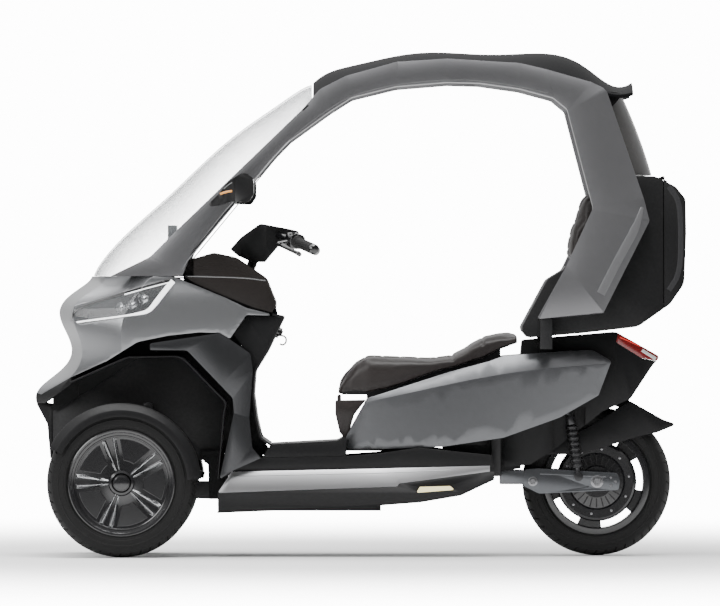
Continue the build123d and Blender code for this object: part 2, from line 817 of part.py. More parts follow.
# Cover plates beside the front wheels, bent to the rear, and the liners of the wheel arches
panel_rows = front_rows(
    [(95, 713, 8), (325, 747, 8), (360, 727, 10), (429, 679, 20), (437, 621, 20), (425, 465, 30),
        (435, 365, 20)]
    + [(465, 331, 4), (368, 288, 10), (326, 260, 4), (374, 481, 20), (370, 531, 20), (218, 690, 20),
        (95, 691, 4)]
)
panel_sheet = 5.0
with BuildPart() as panel_band:
    with BuildSketch(Plane.XY.offset(200)):
        outer = [(front(80), 300), (front(330), 288), (front(480), 254)]
        inner = [(x, y - panel_sheet) for x, y in reversed(outer)]
        Polygon(*outer, *inner, align=None)
    extrude(amount=600)
    add(slab(panel_rows, 200, 340), mode=Mode.INTERSECT)
save(both(panel_band.part), "front_side_panels")

liner_rows = front_rows(
    [(-168, 582), (20, 664, 60), (197, 668, 60), (346, 514, 30), (338, 480, 20), (319, 262)]
    + [(323, 262), (343, 481, 20), (352, 516, 30), (201, 673, 60), (16, 669, 60), (-170, 586)]
)
save(both(slab(liner_rows, core_half_width + seam, 282)), "arch_liners")

# Leg shield facing the rider's shins
shield_rows = front_rows(
    [(502, 806), (502, 812), (543, 804, 8), (486, 684, 60), (445, 618, 40), (440, 542, 40), (450, 465, 40)]
    + [(465, 399, 20), (497, 377), (493, 372), (459, 397, 20), (444, 464, 40), (434, 542, 40),
        (439, 620, 40)]
    + [(480, 687, 60), (535, 799, 8)]
)
shield_half = 248.0
cheek_rows = front_rows(
    [(372, 742), (418, 803, 4), (512, 803), (536, 800), (482, 687), (442, 622), (430, 640), (412, 690)]
)
with BuildPart() as leg_shield:
    add(slab(shield_rows, -shield_half, shield_half))
    add(both(slab(cheek_rows, shield_half - 10, shield_half - 6)))
save(leg_shield.part, "leg_shield")

# Dashboard with a hollow for the handlebar cover, and the shelf behind the windscreen
dash_rows = front_rows(
    [(206, 938), (209, 987, 10), (307, 1016, 40), (378, 1001, 30), (480, 932, 40), (516, 842, 10),
        (500, 816), (440, 832), (350, 868, 40)]
    + [(246, 912, 30)]
)
dash_plan = [(front(200), 286), (front(512), 260), (front(512), -260), (front(200), -286)]
recess_radius = 150.0
recess_t = -113.0
shelf_z = 930.0


def dash_block(inset):
    with BuildPart() as made:
        add(slab(dash_rows, -300, 300, inset=inset))
        with BuildSketch(Plane.XY.offset(700)):
            Polygon(*dash_plan, align=None)
            if inset:
                offset(amount=-inset, kind=Kind.INTERSECTION)
        extrude(amount=400, mode=Mode.INTERSECT)
        with BuildSketch(column_plane.offset(recess_t - inset)):
            Circle(recess_radius + inset)
        extrude(amount=300, mode=Mode.SUBTRACT)
        add(both(box(front(180), front(240 + inset), 248 - inset, 330, 936, 1100)), mode=Mode.SUBTRACT)
    return made.part


with BuildPart() as dashboard:
    add(dash_block(0))
    add(dash_block(wall), mode=Mode.SUBTRACT)
    with BuildSketch(column_plane.offset(-400)):
        Circle(column_radius + 5)
    extrude(amount=400, mode=Mode.SUBTRACT)
    add(roof_frame.part, mode=Mode.SUBTRACT)
    add(mirrored(roof_frame.part), mode=Mode.SUBTRACT)
save(dashboard.part, "dashboard")

with BuildPart() as shelf:
    add(fairing_body(wall + seam))
    add(box(front(-300), front(206), -400, 400, shelf_z, shelf_z + wall), mode=Mode.INTERSECT)
save(shelf.part, "cowl_shelf")

display_z = 1050.0
with BuildPart() as display:
    add(box(front(150), front(178), -112, 112, display_z, display_z + 58))
    add(box(front(156), front(172), -22, 22, shelf_z + wall, display_z))
save(display.part, "display")

# Floor, battery, frame rails and belly
rail_inner_y = 130.0
rail_outer_y = 160.0
rail_low = 268.0
rail_high = 318.0
floor_rows = mid_rows([(-326, 332), (-298, 376, 10), (-75, 388, 30), (-56, 399, 4), (-46, 399), (-46, 338)])
floor_under_rows = mid_rows([(-330, 320), (-292, 362), (-76, 374), (-57, 374), (-57, 320)])
with BuildPart() as floor_board:
    add(slab(floor_rows, -floor_half_width, floor_half_width))
    add(slab(floor_under_rows, floor_plate - floor_half_width, floor_half_width - floor_plate),
        mode=Mode.SUBTRACT)
    add(box(-57, 200, -150, 150, 353, 367))
    add(both(box(-54, -40, 150, 184, 330, 410)), mode=Mode.SUBTRACT)
save(floor_board.part, "floor_board")

battery_x = (-420.0, 130.0)
battery_half = rail_inner_y - 2
battery_z = (186.0, 322.0)
save(box(battery_x[0], battery_x[1], -battery_half, battery_half, *battery_z), "battery_pack")

frame_end_x = 470.0
with BuildPart() as main_frame:
    add(both(box(front(336), frame_end_x, rail_inner_y, rail_outer_y, rail_low, rail_high)))
    add(box(front(336), front(372), -rail_inner_y, rail_inner_y, rail_low, rail_high))
    add(box(front(312), front(336), -core_half_width, core_half_width, rail_low, rail_high))
    add(box(frame_end_x - 40, frame_end_x, -rail_inner_y, rail_inner_y, rail_low, rail_high))
    for x in (-250, -120):
        add(both(box(x, x + 30, rail_inner_y, rail_outer_y, rail_high, 380)))
    add(both(box(frame_end_x - 30, frame_end_x, rail_inner_y, rail_outer_y, rail_high, 644)))
    add(both(box(frame_end_x, 640, rail_inner_y, rail_outer_y, 618, 644)))
    add(both(box(600, 640, rail_inner_y, rail_outer_y, 644, 718)))
    add(both(box(600, 640, rail_outer_y, 300, 694, 718)))
    add(both(box(600, 640, 268, 300, 718, 812)))
    add(roof_frame.part, mode=Mode.SUBTRACT)
    add(mirrored(roof_frame.part), mode=Mode.SUBTRACT)
    add(floor_board.part, mode=Mode.SUBTRACT)
save(main_frame.part, "main_frame")

belly_x = front(318)
belly_rows = [(belly_x, 147, 0), (-23, 165, 60), (200, 182, 60), (336, 205, 40), (448, 258, 0),
    (446, 262, 0), (335, 209, 40), (200, 186, 60), (-23, 169, 60), (belly_x, 151, 0)]
with BuildPart() as belly_pan:
    add(slab(belly_rows, -238, 238))
    add(box(battery_x[0], battery_x[1] - 60, -battery_half, battery_half, 152, battery_z[0]))
save(belly_pan.part, "belly_pan")

# Sills: one bent strip along each side, cut into the bright upper and the dark lower length
sill_line = [(239, 331), (240, 297), (276, 216), (260, 180), (238, 146)]
with BuildPart() as sill_strip:
    with BuildSketch(Plane.YZ.offset(belly_x)):
        Polygon(*sill_line, *[(y - wall, z) for y, z in reversed(sill_line)], align=None)
    extrude(amount=448 - belly_x)
bright_rows = mid_rows([(-428, 285, 4), (49, 295), (433, 305), (433, 286), (130, 246, 40),
    (124, 236, 20), (-474, 215, 4)])
dark_rows = mid_rows([(-474, 214), (124, 235, 20), (131, 245, 40), (433, 285), (448, 285), (448, 262.5),
    (336, 209.3, 40), (200, 186.3, 60), (-23, 169.3, 60), (-474, 151.5)])
lamp_lens_rows = mid_rows([(187, 215, 4), (317, 225, 4), (300, 238, 4), (199, 235, 4)])
for name, rows in (("silver_sills", bright_rows), ("dark_sills", dark_rows)):
    with BuildPart() as sill:
        add(slab(rows, 200, 300))
        add(sill_strip.part, mode=Mode.INTERSECT)
        if name == "dark_sills":
            add(slab(lamp_lens_rows, 200, 300), mode=Mode.SUBTRACT)
    save(both(sill.part), name)
with BuildPart() as side_lamp:
    add(slab(lamp_lens_rows, 256, 276, inset=seam))
save(both(side_lamp.part), "side_lamps")
skirt_rows = mid_rows([(-430, 279), (-432, 331), (-326, 331), (-43, 337), (60, 345), (198, 365),
    (440, 340), (446, 300), (49, 289)])
save(both(slab(skirt_rows, 231.7, 235.7)), "skirts")


# Skin of one side of the body: ribs as x, then rows of (y, z) from top to bottom
def side_skin(stations, thickness):
    with BuildPart() as body:
        for x, rows in stations:
            with BuildSketch(Plane.YZ.offset(x)):
                Polygon((40, rows[0][1]), *rows, (40, rows[-1][1]), align=None)
        loft()
    with BuildPart() as core:
        for x, rows in stations:
            moved = [(y - thickness, z) for y, z in rows]
            with BuildSketch(Plane.YZ.offset(x)):
                Polygon((30, moved[0][1] + 6), (moved[0][0], moved[0][1] + 6), *moved,
                        (moved[-1][0], moved[-1][1] - 6), (30, moved[-1][1] - 6), align=None)
        loft()
    return body.part - core.part, core.part


# Rear side panels with a crease: R x, top y z, crease y z, low y z
side_table = [
    (-850, 150, 545, 176, 500, 160, 335),
    (-682, 165, 590, 206, 536, 200, 335),
    (-494, 182, 650, 232, 577, 226, 345),
    (-330, 190, 700, 238, 608, 226, 375),
    (-127, 180, 715, 222, 633, 202, 435),
    (60, 160, 712, 190, 648, 172, 515),
]
side_rows = rear_rows(
    [(-845, 393, 8), (-768, 531, 20), (-723, 544, 20), (-494, 618, 60), (-360, 654, 20),
        (-315, 671, 20), (-127, 686, 60)]
    + [(-17, 691, 40), (46, 654, 10), (3, 539, 10), (-127, 465, 60), (-315, 398, 60), (-518, 368, 60),
        (-758, 358, 40), (-835, 353, 8)]
)
stations = [(rear(r[0]), [(r[1], r[2]), (r[3], r[4]), (r[5], r[6])]) for r in side_table]
skin, skin_core = side_skin(stations, wall)
with BuildPart() as side_panel:
    add(skin)
    add(slab(side_rows, 100, 300), mode=Mode.INTERSECT)
save(both(side_panel.part), "rear_side_panels")

# Brackets from the frame out to the side panels
with BuildPart() as panel_brackets:
    add(box(frame_end_x - 26, frame_end_x - 4, rail_outer_y, 250, 520, 550))
    add(box(frame_end_x - 26, frame_end_x - 4, rail_outer_y, 250, 420, 440))
    add(skin_core, mode=Mode.INTERSECT)
save(both(panel_brackets.part), "panel_brackets")

# Storage tub under the seat
tub_half = 124.0
tub_rows = rear_rows([(-734, 372), (-734, 534, 8), (-494, 611, 60), (-366, 645, 8), (-366, 372)])
tub_inner_rows = rear_rows([(-734 + wall, 376), (-734 + wall, 640), (-366 - wall, 740), (-366 - wall, 376)])
with BuildPart() as tub:
    add(slab(tub_rows, -tub_half, tub_half))
    add(slab(tub_inner_rows, wall - tub_half, tub_half - wall), mode=Mode.SUBTRACT)
    add(box(rear(-740), rear(-700), -tub_half, tub_half, 367, 372))
save(tub.part, "storage_tub")

# Seat cushion on its front hinge, and the apron below it
hinge_x = rear(-864)
hinge_z = 533.0
hinge_pin = 3.0
hinge_barrel = 6.5
seat_rows = rear_rows(
    [(-872, 542, 6), (-870, 566, 20), (-836, 618, 30), (-777, 674, 50), (-560, 664, 80),
        (-494, 671, 60), (-427, 704, 60)]
    + [(-374, 741, 40), (-264, 753, 8), (-267, 714, 8), (-327, 695, 20), (-360, 662, 20),
        (-494, 626, 60), (-723, 552, 40), (-770, 542)]
)
with BuildPart() as seat:
    add(slab(seat_rows, -seat_half_width, seat_half_width))
    for y in (-90, 90):
        with BuildSketch(Plane(origin=(hinge_x, y + 18, hinge_z), x_dir=(1, 0, 0), z_dir=(0, -1, 0))):
            Circle(hinge_barrel)
            with Locations((0, 6)):
                Rectangle(2 * hinge_barrel, 12)
        extrude(amount=36)
        with BuildSketch(Plane(origin=(hinge_x, y + 18, hinge_z), x_dir=(1, 0, 0), z_dir=(0, -1, 0))):
            Circle(hinge_pin + running_gap)
        extrude(amount=36, mode=Mode.SUBTRACT)
save(seat.part, "seat")

apron_rows = rear_rows(
    [(-863, 416, 6), (-877, 478, 20), (-877, 519, 4), (-776, 521), (-813, 474, 20), (-835, 399.3, 6),
        (-850, 399.3, 6)]
)
apron_half = 158.0
with BuildPart() as apron:
    add(slab(apron_rows, -apron_half, apron_half))
    add(slab(apron_rows, -apron_half + wall, apron_half - wall, inset=wall), mode=Mode.SUBTRACT)
    for y in (-90, 90):
        for side in (-1, 1):
            middle = y + side * 25
            with BuildSketch(Plane(origin=(hinge_x, middle + 6, hinge_z), x_dir=(1, 0, 0),
                z_dir=(0, -1, 0))):
                Circle(hinge_barrel)
                with Locations((0, -7)):
                    Rectangle(2 * hinge_barrel, 14)
            extrude(amount=12)
        with BuildSketch(Plane(origin=(hinge_x, y + 30, hinge_z), x_dir=(1, 0, 0), z_dir=(0, -1, 0))):
            Circle(hinge_pin)
        extrude(amount=60)
save(apron.part, "seat_apron")

# Luggage case between the rear pillars, with its top-hinged door
case_rows = rear_rows(
    [(-60, 980, 20), (-107, 972, 4), (-117, 958, 4), (-168, 927, 40), (-257, 762, 20), (-231, 732, 10),
        (-53, 747, 60)]
    + [(132, 768, 60), (240, 844, 40), (287, 911, 60), (294, 1081, 40), (292, 1195, 30),
        (259, 1236, 30), (189, 1271, 40), (60, 1271, 20)]
    + [(22, 1205, 40), (20, 1150, 20)]
)
door_x = rear(217)


def case_block(inset):
    with BuildPart() as made:
        add(slab(case_rows, -300, 300, inset=inset))
        with BuildSketch(Plane.YZ.offset(rear(-300))):
            low = frame_inner_y(700) - seam - inset
            high = frame_inner_y(1300) - seam - inset
            Polygon((low, 700), (high, 1300), (-high, 1300), (-low, 700), align=None)
        extrude(amount=600, mode=Mode.INTERSECT)
    return made.part


case_solid = case_block(0)
case_hollow = case_block(case_wall)
pivot_x = door_x + 2
pivot_z = 1266.0
pivot_radius = 6.5
with BuildPart() as trunk_case:
    add(case_solid)
    add(case_hollow, mode=Mode.SUBTRACT)
    add(box(door_x, rear(320), -300, 300, 700, 1300), mode=Mode.SUBTRACT)
    for y in (-120, 120):
        for side in (-1, 1):
            middle = y + side * 25
            with BuildSketch(Plane(origin=(pivot_x, middle + 6, pivot_z), x_dir=(1, 0, 0),
                z_dir=(0, -1, 0))):
                Circle(pivot_radius)
                Polygon((-14, -2), (0, -pivot_radius), (-2, -10), (-16, -6), align=None)
            extrude(amount=12)
        with BuildSketch(Plane(origin=(pivot_x, y + 30, pivot_z), x_dir=(1, 0, 0), z_dir=(0, -1, 0))):
            Circle(hinge_pin)
        extrude(amount=60)
save(trunk_case.part, "trunk_case")

with BuildPart() as trunk_door:
    add(case_solid)
    add(case_hollow, mode=Mode.SUBTRACT)
    add(box(rear(-320), door_x + door_gap, -300, 300, 700, 1300), mode=Mode.SUBTRACT)
    for y in (-120, 120):
        with BuildSketch(Plane(origin=(pivot_x, y + 18, pivot_z), x_dir=(1, 0, 0), z_dir=(0, -1, 0))):
            Circle(pivot_radius)
            Polygon((3, -5.5), (5, -4), (16, -12), (12, -20), (3, -16), align=None)
        extrude(amount=36)
        with BuildSketch(Plane(origin=(pivot_x, y + 18, pivot_z), x_dir=(1, 0, 0), z_dir=(0, -1, 0))):
            Circle(hinge_pin + running_gap)
        extrude(amount=36, mode=Mode.SUBTRACT)
save(trunk_door.part, "trunk_door")

pad_rows = rear_rows(
    [(-59.6, 982), (-66, 984, 4), (-102, 1000, 14), (-88, 1087, 60), (-66, 1137, 40), (-50, 1195, 20),
        (-21, 1214, 10), (21.4, 1204), (19.5, 1151)]
)
save(slab(pad_rows, -128, 128) - case_solid, "backrest")

# Tail body over the rear wheel, its lamp, the rear mudguard
tunnel_radius = 264.0
rear_shock_z = 486.0
tunnel_half = 86.0
tail_rows = rear_rows(
    [(-250, 724, 10), (63, 751, 20), (212, 668, 10), (183, 634, 20), (112, 528, 20), (17, 485, 30),
        (-132, 365, 40), (-224, 307, 20)]
    + [(-314, 297, 10), (-318, 330, 20), (-290, 600, 20), (-262, 604, 10)]
)
tail_plan = [(rear(-330), 118), (rear(-240), 122), (rear(-100), 150), (rear(60), 150), (rear(150), 124),
    (rear(215), 88)]
tail_lamp_rows = rear_rows([(72, 760), (230, 670), (208, 652), (150, 662, 10), (62, 716, 10)])


def tail_block(inset):
    with BuildPart() as made:
        add(slab(tail_rows, -200, 200, inset=inset))
        with BuildSketch(Plane.XY.offset(200)):
            Polygon(*tail_plan, *[(x, -y) for x, y in reversed(tail_plan)], align=None)
            if inset:
                offset(amount=-inset, kind=Kind.INTERSECTION)
        extrude(amount=600, mode=Mode.INTERSECT)
        with BuildSketch(Plane.XZ.offset(-tunnel_half - inset)):
            with Locations((rear_axle_x, axle_z)):
                Circle(tunnel_radius + inset)
        extrude(amount=2 * (tunnel_half + inset), mode=Mode.SUBTRACT)
        notch = box(rear(-150) - inset, rear(-40) + inset, tunnel_half + 5 - inset, 200, 200,
            rear_shock_z + 15 + inset)
        add(both(notch), mode=Mode.SUBTRACT)
    return made.part


tail_solid = tail_block(0)
tail_hollow = tail_block(wall)
with BuildPart() as tail_body:
    add(tail_solid)
    add(tail_hollow, mode=Mode.SUBTRACT)
    add(slab(tail_lamp_rows, -200, 200), mode=Mode.SUBTRACT)
    add(main_frame.part, mode=Mode.SUBTRACT)
save(tail_body.part, "tail_body")
with BuildPart() as tail_light:
    add(tail_solid)
    add(tail_hollow, mode=Mode.SUBTRACT)
    add(slab(tail_lamp_rows, -200, 200, inset=seam), mode=Mode.INTERSECT)
save(tail_light.part, "tail_light")

fender_rows = rear_rows(
    [(-23, 433, 20), (90, 505, 10), (112, 519, 8), (224, 456, 20), (269, 441, 6), (201, 413, 20),
        (132, 399, 20), (6, 358, 40), (-69, 341, 20), (-212, 338, 20)]
    + [(-205, 352, 20)]
)
guard_out = 82.0
with BuildPart() as rear_fender:
    add(slab(fender_rows, -guard_out, guard_out))
    add(box(rear(30), rear(110), -30, 30, 470, 540))
    with BuildSketch(Plane.XZ.offset(-guard_out + wall)):
        with Locations((rear_axle_x, axle_z)):
            Circle(tunnel_radius - 4)
    extrude(amount=2 * (guard_out - wall), mode=Mode.SUBTRACT)
    add(tail_solid, mode=Mode.SUBTRACT)
save(rear_fender.part, "rear_fender")

# Swingarm with the rear axle and its spacers
arm_rows = rear_rows([(-241, 290, 10), (-195, 293, 20), (69, 278, 10), (77, 250, 8), (73, 221, 10),
    (-195, 209, 20), (-247, 235, 10)])
arm_in = swingarm_y - swingarm_plate / 2
arm_out = swingarm_y + swingarm_plate / 2
with BuildPart() as swingarm:
    add(both(slab(arm_rows, arm_in, arm_out)))
    add(both(box(rear(-324), rear(-244), arm_in, arm_out, 240, 286)))
    add(box(rear(-324), rear(-290), -arm_in, arm_in, 240, 286))
    with BuildSketch(Plane.XZ.offset(-arm_out)):
        with Locations((rear_axle_x, axle_z)):
            Circle(axle_radius)
    extrude(amount=2 * arm_out)
    with BuildSketch(Plane.XZ.offset(motor_half + seam)):
        with Locations((rear_axle_x, axle_z)):
            Circle(axle_radius + 9)
    extrude(amount=arm_in - motor_half - seam)
    with BuildSketch(Plane.XZ.offset(-motor_half - seam)):
        with Locations((rear_axle_x, axle_z)):
            Circle(axle_radius + 9)
    extrude(amount=-(arm_in - motor_half - seam))
    for side in (-1, 1):
        with BuildSketch(Plane(origin=(rear(-30), side * arm_out, 232), x_dir=(1, 0, 0),
            z_dir=(0, side, 0))):
            Circle(spool_hole_radius)
        extrude(amount=-spool_hole_depth, mode=Mode.SUBTRACT)
save(swingarm.part, "swingarm")

rear_shock_y = arm_out + 9
with BuildPart() as rear_shock:
    add(damper((rear(-62), rear_shock_y, 266), (rear(-92), rear_shock_y, rear_shock_z), 19, 8, 9))
save(both(rear_shock.part), "rear_shocks")

# Mirrors on the windscreen pillars
mirror_rows = front_rows(
    [(409, 1283, 20), (441, 1261, 16), (441, 1208, 16), (425, 1182, 16), (366, 1184, 40),
        (328, 1171, 20), (281, 1166, 10), (324, 1208, 40), (356, 1250, 40)]
)
with BuildPart() as mirror_body:
    add(slab(mirror_rows, 322, 420))
    with BuildSketch(Plane.XY.offset(1100)):
        Polygon((front(270), 322), (front(330), 330), (front(445), 322), (front(445), 416),
            (front(380), 420), (front(300), 380), align=None)
    extrude(amount=260, mode=Mode.INTERSECT)
    add(tube((front(360), 270, 1212), (front(368), 345, 1212), 9))
    add(roof_frame.part, mode=Mode.SUBTRACT)
save(both(mirror_body.part), "mirrors")
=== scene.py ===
import json
from math import cos, pi, radians, sin

import bmesh
import bpy
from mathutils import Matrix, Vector
from mathutils.bvhtree import BVHTree


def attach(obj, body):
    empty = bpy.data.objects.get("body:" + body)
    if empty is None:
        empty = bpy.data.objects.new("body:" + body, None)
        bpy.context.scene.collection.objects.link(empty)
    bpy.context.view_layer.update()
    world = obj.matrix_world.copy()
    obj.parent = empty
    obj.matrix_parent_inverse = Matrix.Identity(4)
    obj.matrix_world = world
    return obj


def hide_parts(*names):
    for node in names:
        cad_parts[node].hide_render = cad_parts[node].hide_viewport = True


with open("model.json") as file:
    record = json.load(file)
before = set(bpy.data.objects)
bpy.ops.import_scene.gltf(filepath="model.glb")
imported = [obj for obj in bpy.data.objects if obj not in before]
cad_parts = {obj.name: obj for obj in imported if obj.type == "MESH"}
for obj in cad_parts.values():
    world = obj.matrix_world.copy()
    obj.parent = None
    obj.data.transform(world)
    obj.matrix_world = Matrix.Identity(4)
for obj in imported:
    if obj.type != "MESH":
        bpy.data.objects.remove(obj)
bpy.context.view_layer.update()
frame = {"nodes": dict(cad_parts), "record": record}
nodes = frame["nodes"]
print("stage: frame")

# Camera at the photo's side view. The lens is so long that the view is nearly flat
lens = {"photoWidth": 2.3976, "aim": (0.0, -0.28, 0.8475), "far": 30.0, "sensor": 36.0, "clipEnd": 60.0}
cameraData = bpy.data.cameras.new("camera")
cameraData.sensor_width = lens["sensor"]
cameraData.lens = lens["sensor"] * lens["far"] / lens["photoWidth"]
cameraData.clip_end = lens["clipEnd"]
camera = bpy.data.objects.new("camera", cameraData)
camera.location = Vector(lens["aim"]) - Vector((0, lens["far"], 0))
camera.rotation_euler = (radians(90), 0, 0)
bpy.context.scene.collection.objects.link(camera)
bpy.context.scene.camera = camera


# Node helpers shared by all the materials
def link(tree, a, b):
    tree.links.new(a, b)


def addNode(tree, kind, **values):
    node = tree.nodes.new(kind)
    for key, value in values.items():
        if hasattr(node, key):
            setattr(node, key, value)
        else:
            node.inputs[key.replace("_", " ")].default_value = value
    return node


def newGroup(name, inputs, outputs):
    group = bpy.data.node_groups.new(name, "ShaderNodeTree")
    for label, kind, value in inputs:
        socket = group.interface.new_socket(label, in_out="INPUT", socket_type=kind)
        if value is not None:
            socket.default_value = value
    for label, kind in outputs:
        group.interface.new_socket(label, in_out="OUTPUT", socket_type=kind)
    return group, group.nodes.new("NodeGroupInput"), group.nodes.new("NodeGroupOutput")


# Math node on two terms, each a socket or a number
def calculate(tree, operation, *terms):
    node = addNode(tree, "ShaderNodeMath", operation=operation)
    for socket, term in zip(node.inputs, terms):
        if isinstance(term, float):
            socket.default_value = term
        else:
            link(tree, term, socket)
    return node.outputs[0]


# Texture node in the object's own coordinates, at the group's scale or another
def addTexture(group, kind, scale, **values):
    node = addNode(group, kind, **values)
    link(group, scale, node.inputs["Scale"])
    link(group, addNode(group, "ShaderNodeTexCoord").outputs["Object"], node.inputs["Vector"])
    return node


# Fine mottling of a colour with a matching change of roughness
def makeMottle():
    group, given, out = newGroup(
        "mottle",
        [("Color", "NodeSocketColor", (0.5, 0.5, 0.5, 1)), ("Amount", "NodeSocketFloat", 0.1),
         ("Scale", "NodeSocketFloat", 20.0), ("Roughness", "NodeSocketFloat", 0.4)],
        [("Color", "NodeSocketColor"), ("Roughness", "NodeSocketFloat")],
    )
    finer = calculate(group, "MULTIPLY", given.outputs["Scale"], 9.0)
    large = addTexture(group, "ShaderNodeTexNoise", given.outputs["Scale"], Detail=4.0, Roughness=0.6)
    small = addTexture(group, "ShaderNodeTexNoise", finer, Detail=6.0, Roughness=0.7)
    both = calculate(group, "ADD", large.outputs["Fac"], small.outputs["Fac"])
    centred = calculate(group, "SUBTRACT", both, 1.0)
    scaled = calculate(group, "MULTIPLY", centred, given.outputs["Amount"])
    value = calculate(group, "ADD", scaled, 1.0)
    tint = addNode(group, "ShaderNodeHueSaturation")
    link(group, given.outputs["Color"], tint.inputs["Color"])
    link(group, value, tint.inputs["Value"])
    link(group, tint.outputs["Color"], out.inputs["Color"])
    link(group, calculate(group, "MULTIPLY", given.outputs["Roughness"], value), out.inputs["Roughness"])
    return group


# Height of moulded or leather grain: cells at one scale broken up by noise
def makeGrain():
    group, given, out = newGroup(
        "grain",
        [("Scale", "NodeSocketFloat", 400.0), ("Cells", "NodeSocketFloat", 0.6)],
        [("Height", "NodeSocketFloat")],
    )
    cells = addTexture(group, "ShaderNodeTexVoronoi", given.outputs["Scale"], feature="SMOOTH_F1")
    noise = addTexture(group, "ShaderNodeTexNoise", given.outputs["Scale"], Detail=5.0, Roughness=0.6)
    mix = addNode(group, "ShaderNodeMix", data_type="FLOAT")
    link(group, given.outputs["Cells"], mix.inputs[0])
    link(group, noise.outputs["Fac"], mix.inputs[2])
    link(group, cells.outputs["Distance"], mix.inputs[3])
    link(group, mix.outputs[0], out.inputs["Height"])
    return group


# Paler, rubbed colour along outside edges, from the surface's pointiness
def makeRub():
    group, given, out = newGroup(
        "rub",
        [("Color", "NodeSocketColor", (0.5, 0.5, 0.5, 1)), ("Rubbed", "NodeSocketColor", (0.7, 0.7, 0.7, 1)),
         ("Amount", "NodeSocketFloat", 0.3)],
        [("Color", "NodeSocketColor")],
    )
    shape = addNode(group, "ShaderNodeNewGeometry")
    edge = addNode(group, "ShaderNodeMapRange", From_Min=0.515, From_Max=0.6)
    link(group, shape.outputs["Pointiness"], edge.inputs["Value"])
    noise = addNode(group, "ShaderNodeTexNoise", Scale=60.0, Detail=4.0)
    broken = calculate(group, "MULTIPLY", edge.outputs[0], noise.outputs["Fac"])
    mix = addNode(group, "ShaderNodeMix", data_type="RGBA")
    link(group, calculate(group, "MULTIPLY", broken, given.outputs["Amount"]), mix.inputs[0])
    link(group, given.outputs["Color"], mix.inputs[6])
    link(group, given.outputs["Rubbed"], mix.inputs[7])
    link(group, mix.outputs[2], out.inputs["Color"])
    return group


mottleGroup = makeMottle()
grainGroup = makeGrain()
rubGroup = makeRub()


def useGroup(tree, group, **values):
    node = tree.nodes.new("ShaderNodeGroup")
    node.node_tree = group
    for key, value in values.items():
        node.inputs[key].default_value = value
    return node


# A material from one row: colour, roughness, mottle, grain, rubbed edges, and sockets set on the shader itself
def makeMaterial(name, color, rough, mottle=0.08, mottleScale=14.0, grain=0.0, grainScale=500.0, cells=0.6,
                 rub=0.0, rubbed=(0.6, 0.6, 0.6), bumpDistance=0.0004, **sockets):
    material = bpy.data.materials.new(name)
    material.use_nodes = True
    tree = material.node_tree
    shader = tree.nodes["Principled BSDF"]
    tone = useGroup(tree, mottleGroup, Color=(*color, 1), Amount=mottle, Scale=mottleScale, Roughness=rough)
    source = tone.outputs["Color"]
    if rub:
        worn = useGroup(tree, rubGroup, Rubbed=(*rubbed, 1), Amount=rub)
        link(tree, source, worn.inputs["Color"])
        source = worn.outputs["Color"]
    link(tree, source, shader.inputs["Base Color"])
    link(tree, tone.outputs["Roughness"], shader.inputs["Roughness"])
    if grain:
        height = useGroup(tree, grainGroup, Scale=grainScale, Cells=cells)
        bump = addNode(tree, "ShaderNodeBump", Strength=grain, Distance=bumpDistance)
        link(tree, height.outputs["Height"], bump.inputs["Height"])
        link(tree, bump.outputs["Normal"], shader.inputs["Normal"])
    for key, value in sockets.items():
        shader.inputs[key.replace("_", " ")].default_value = value
    return material


# Values that several finishes share, then a line for each finish
metalFlake = {"mottle": 0.05, "mottleScale": 3.0, "grain": 0.05, "grainScale": 2600.0, "cells": 0.3,
              "Metallic": 0.75}
satinCoat = {"Coat_Weight": 0.5, "Coat_Roughness": 0.22}
dullCoat = {"Coat_Weight": 0.4, "Coat_Roughness": 0.25}
# The body's one silver paint in three copies that differ mostly in brightness: the main copy is darkened for
# painted shade, and the fairing's and the roof frames' copies are lightened for painted light
silverPaintShaded = makeMaterial("silverPaintShaded", (0.118, 0.121, 0.127), 0.34, **metalFlake, **satinCoat)
fairingPaintLit = makeMaterial("fairingPaintLit", (0.24, 0.244, 0.252), 0.34, **metalFlake, **satinCoat)
railPaintLit = makeMaterial("railPaintLit", (0.2, 0.2, 0.207), 0.36, **metalFlake, **dullCoat)
greyPaint = makeMaterial("greyPaint", (0.044, 0.045, 0.048), 0.36, **metalFlake, **satinCoat)
brightSilver = makeMaterial("brightSilver", (0.46, 0.46, 0.47), 0.3, 0.04, 4.0, 0.04, 2600.0, 0.3,
                            Metallic=0.8, Coat_Weight=0.5, Coat_Roughness=0.18)
darkPlastic = makeMaterial("darkPlastic", (0.0085, 0.0085, 0.009), 0.42, 0.1, 10.0, 0.25, 1400.0, 0.7,
                           0.25, (0.05, 0.05, 0.05), Specular_IOR_Level=0.2)
softDash = makeMaterial("softDash", (0.0085, 0.0062, 0.005), 0.55, 0.1, 12.0, 0.35, 900.0, 0.8,
                        0.2, (0.04, 0.03, 0.028), Specular_IOR_Level=0.3)
roofBlack = makeMaterial("roofBlack", (0.007, 0.007, 0.0075), 0.6, 0.08, 8.0, 0.1, 1400.0, 0.6,
                         Specular_IOR_Level=0.06)
glossBlack = makeMaterial("glossBlack", (0.008, 0.008, 0.009), 0.14, 0.06, 10.0,
                          Coat_Weight=1.0, Coat_Roughness=0.05)
chassisSteel = makeMaterial("chassisSteel", (0.012, 0.012, 0.013), 0.42, 0.12, 16.0, 0.12, 900.0, 0.4,
                            0.3, (0.08, 0.08, 0.08), Specular_IOR_Level=0.3)
springSteel = makeMaterial("springSteel", (0.05, 0.05, 0.052), 0.3, 0.1, 20.0, Metallic=0.7)
castAluminium = makeMaterial("castAluminium", (0.42, 0.42, 0.41), 0.38, 0.12, 24.0, 0.2, 700.0, 0.5,
                             0.3, (0.7, 0.7, 0.7), Metallic=0.9)
swingAluminium = makeMaterial("swingAluminium", (0.115, 0.12, 0.128), 0.32, 0.08, 18.0, 0.08, 1200.0, 0.4,
                              0.25, (0.6, 0.6, 0.6), Metallic=0.85)
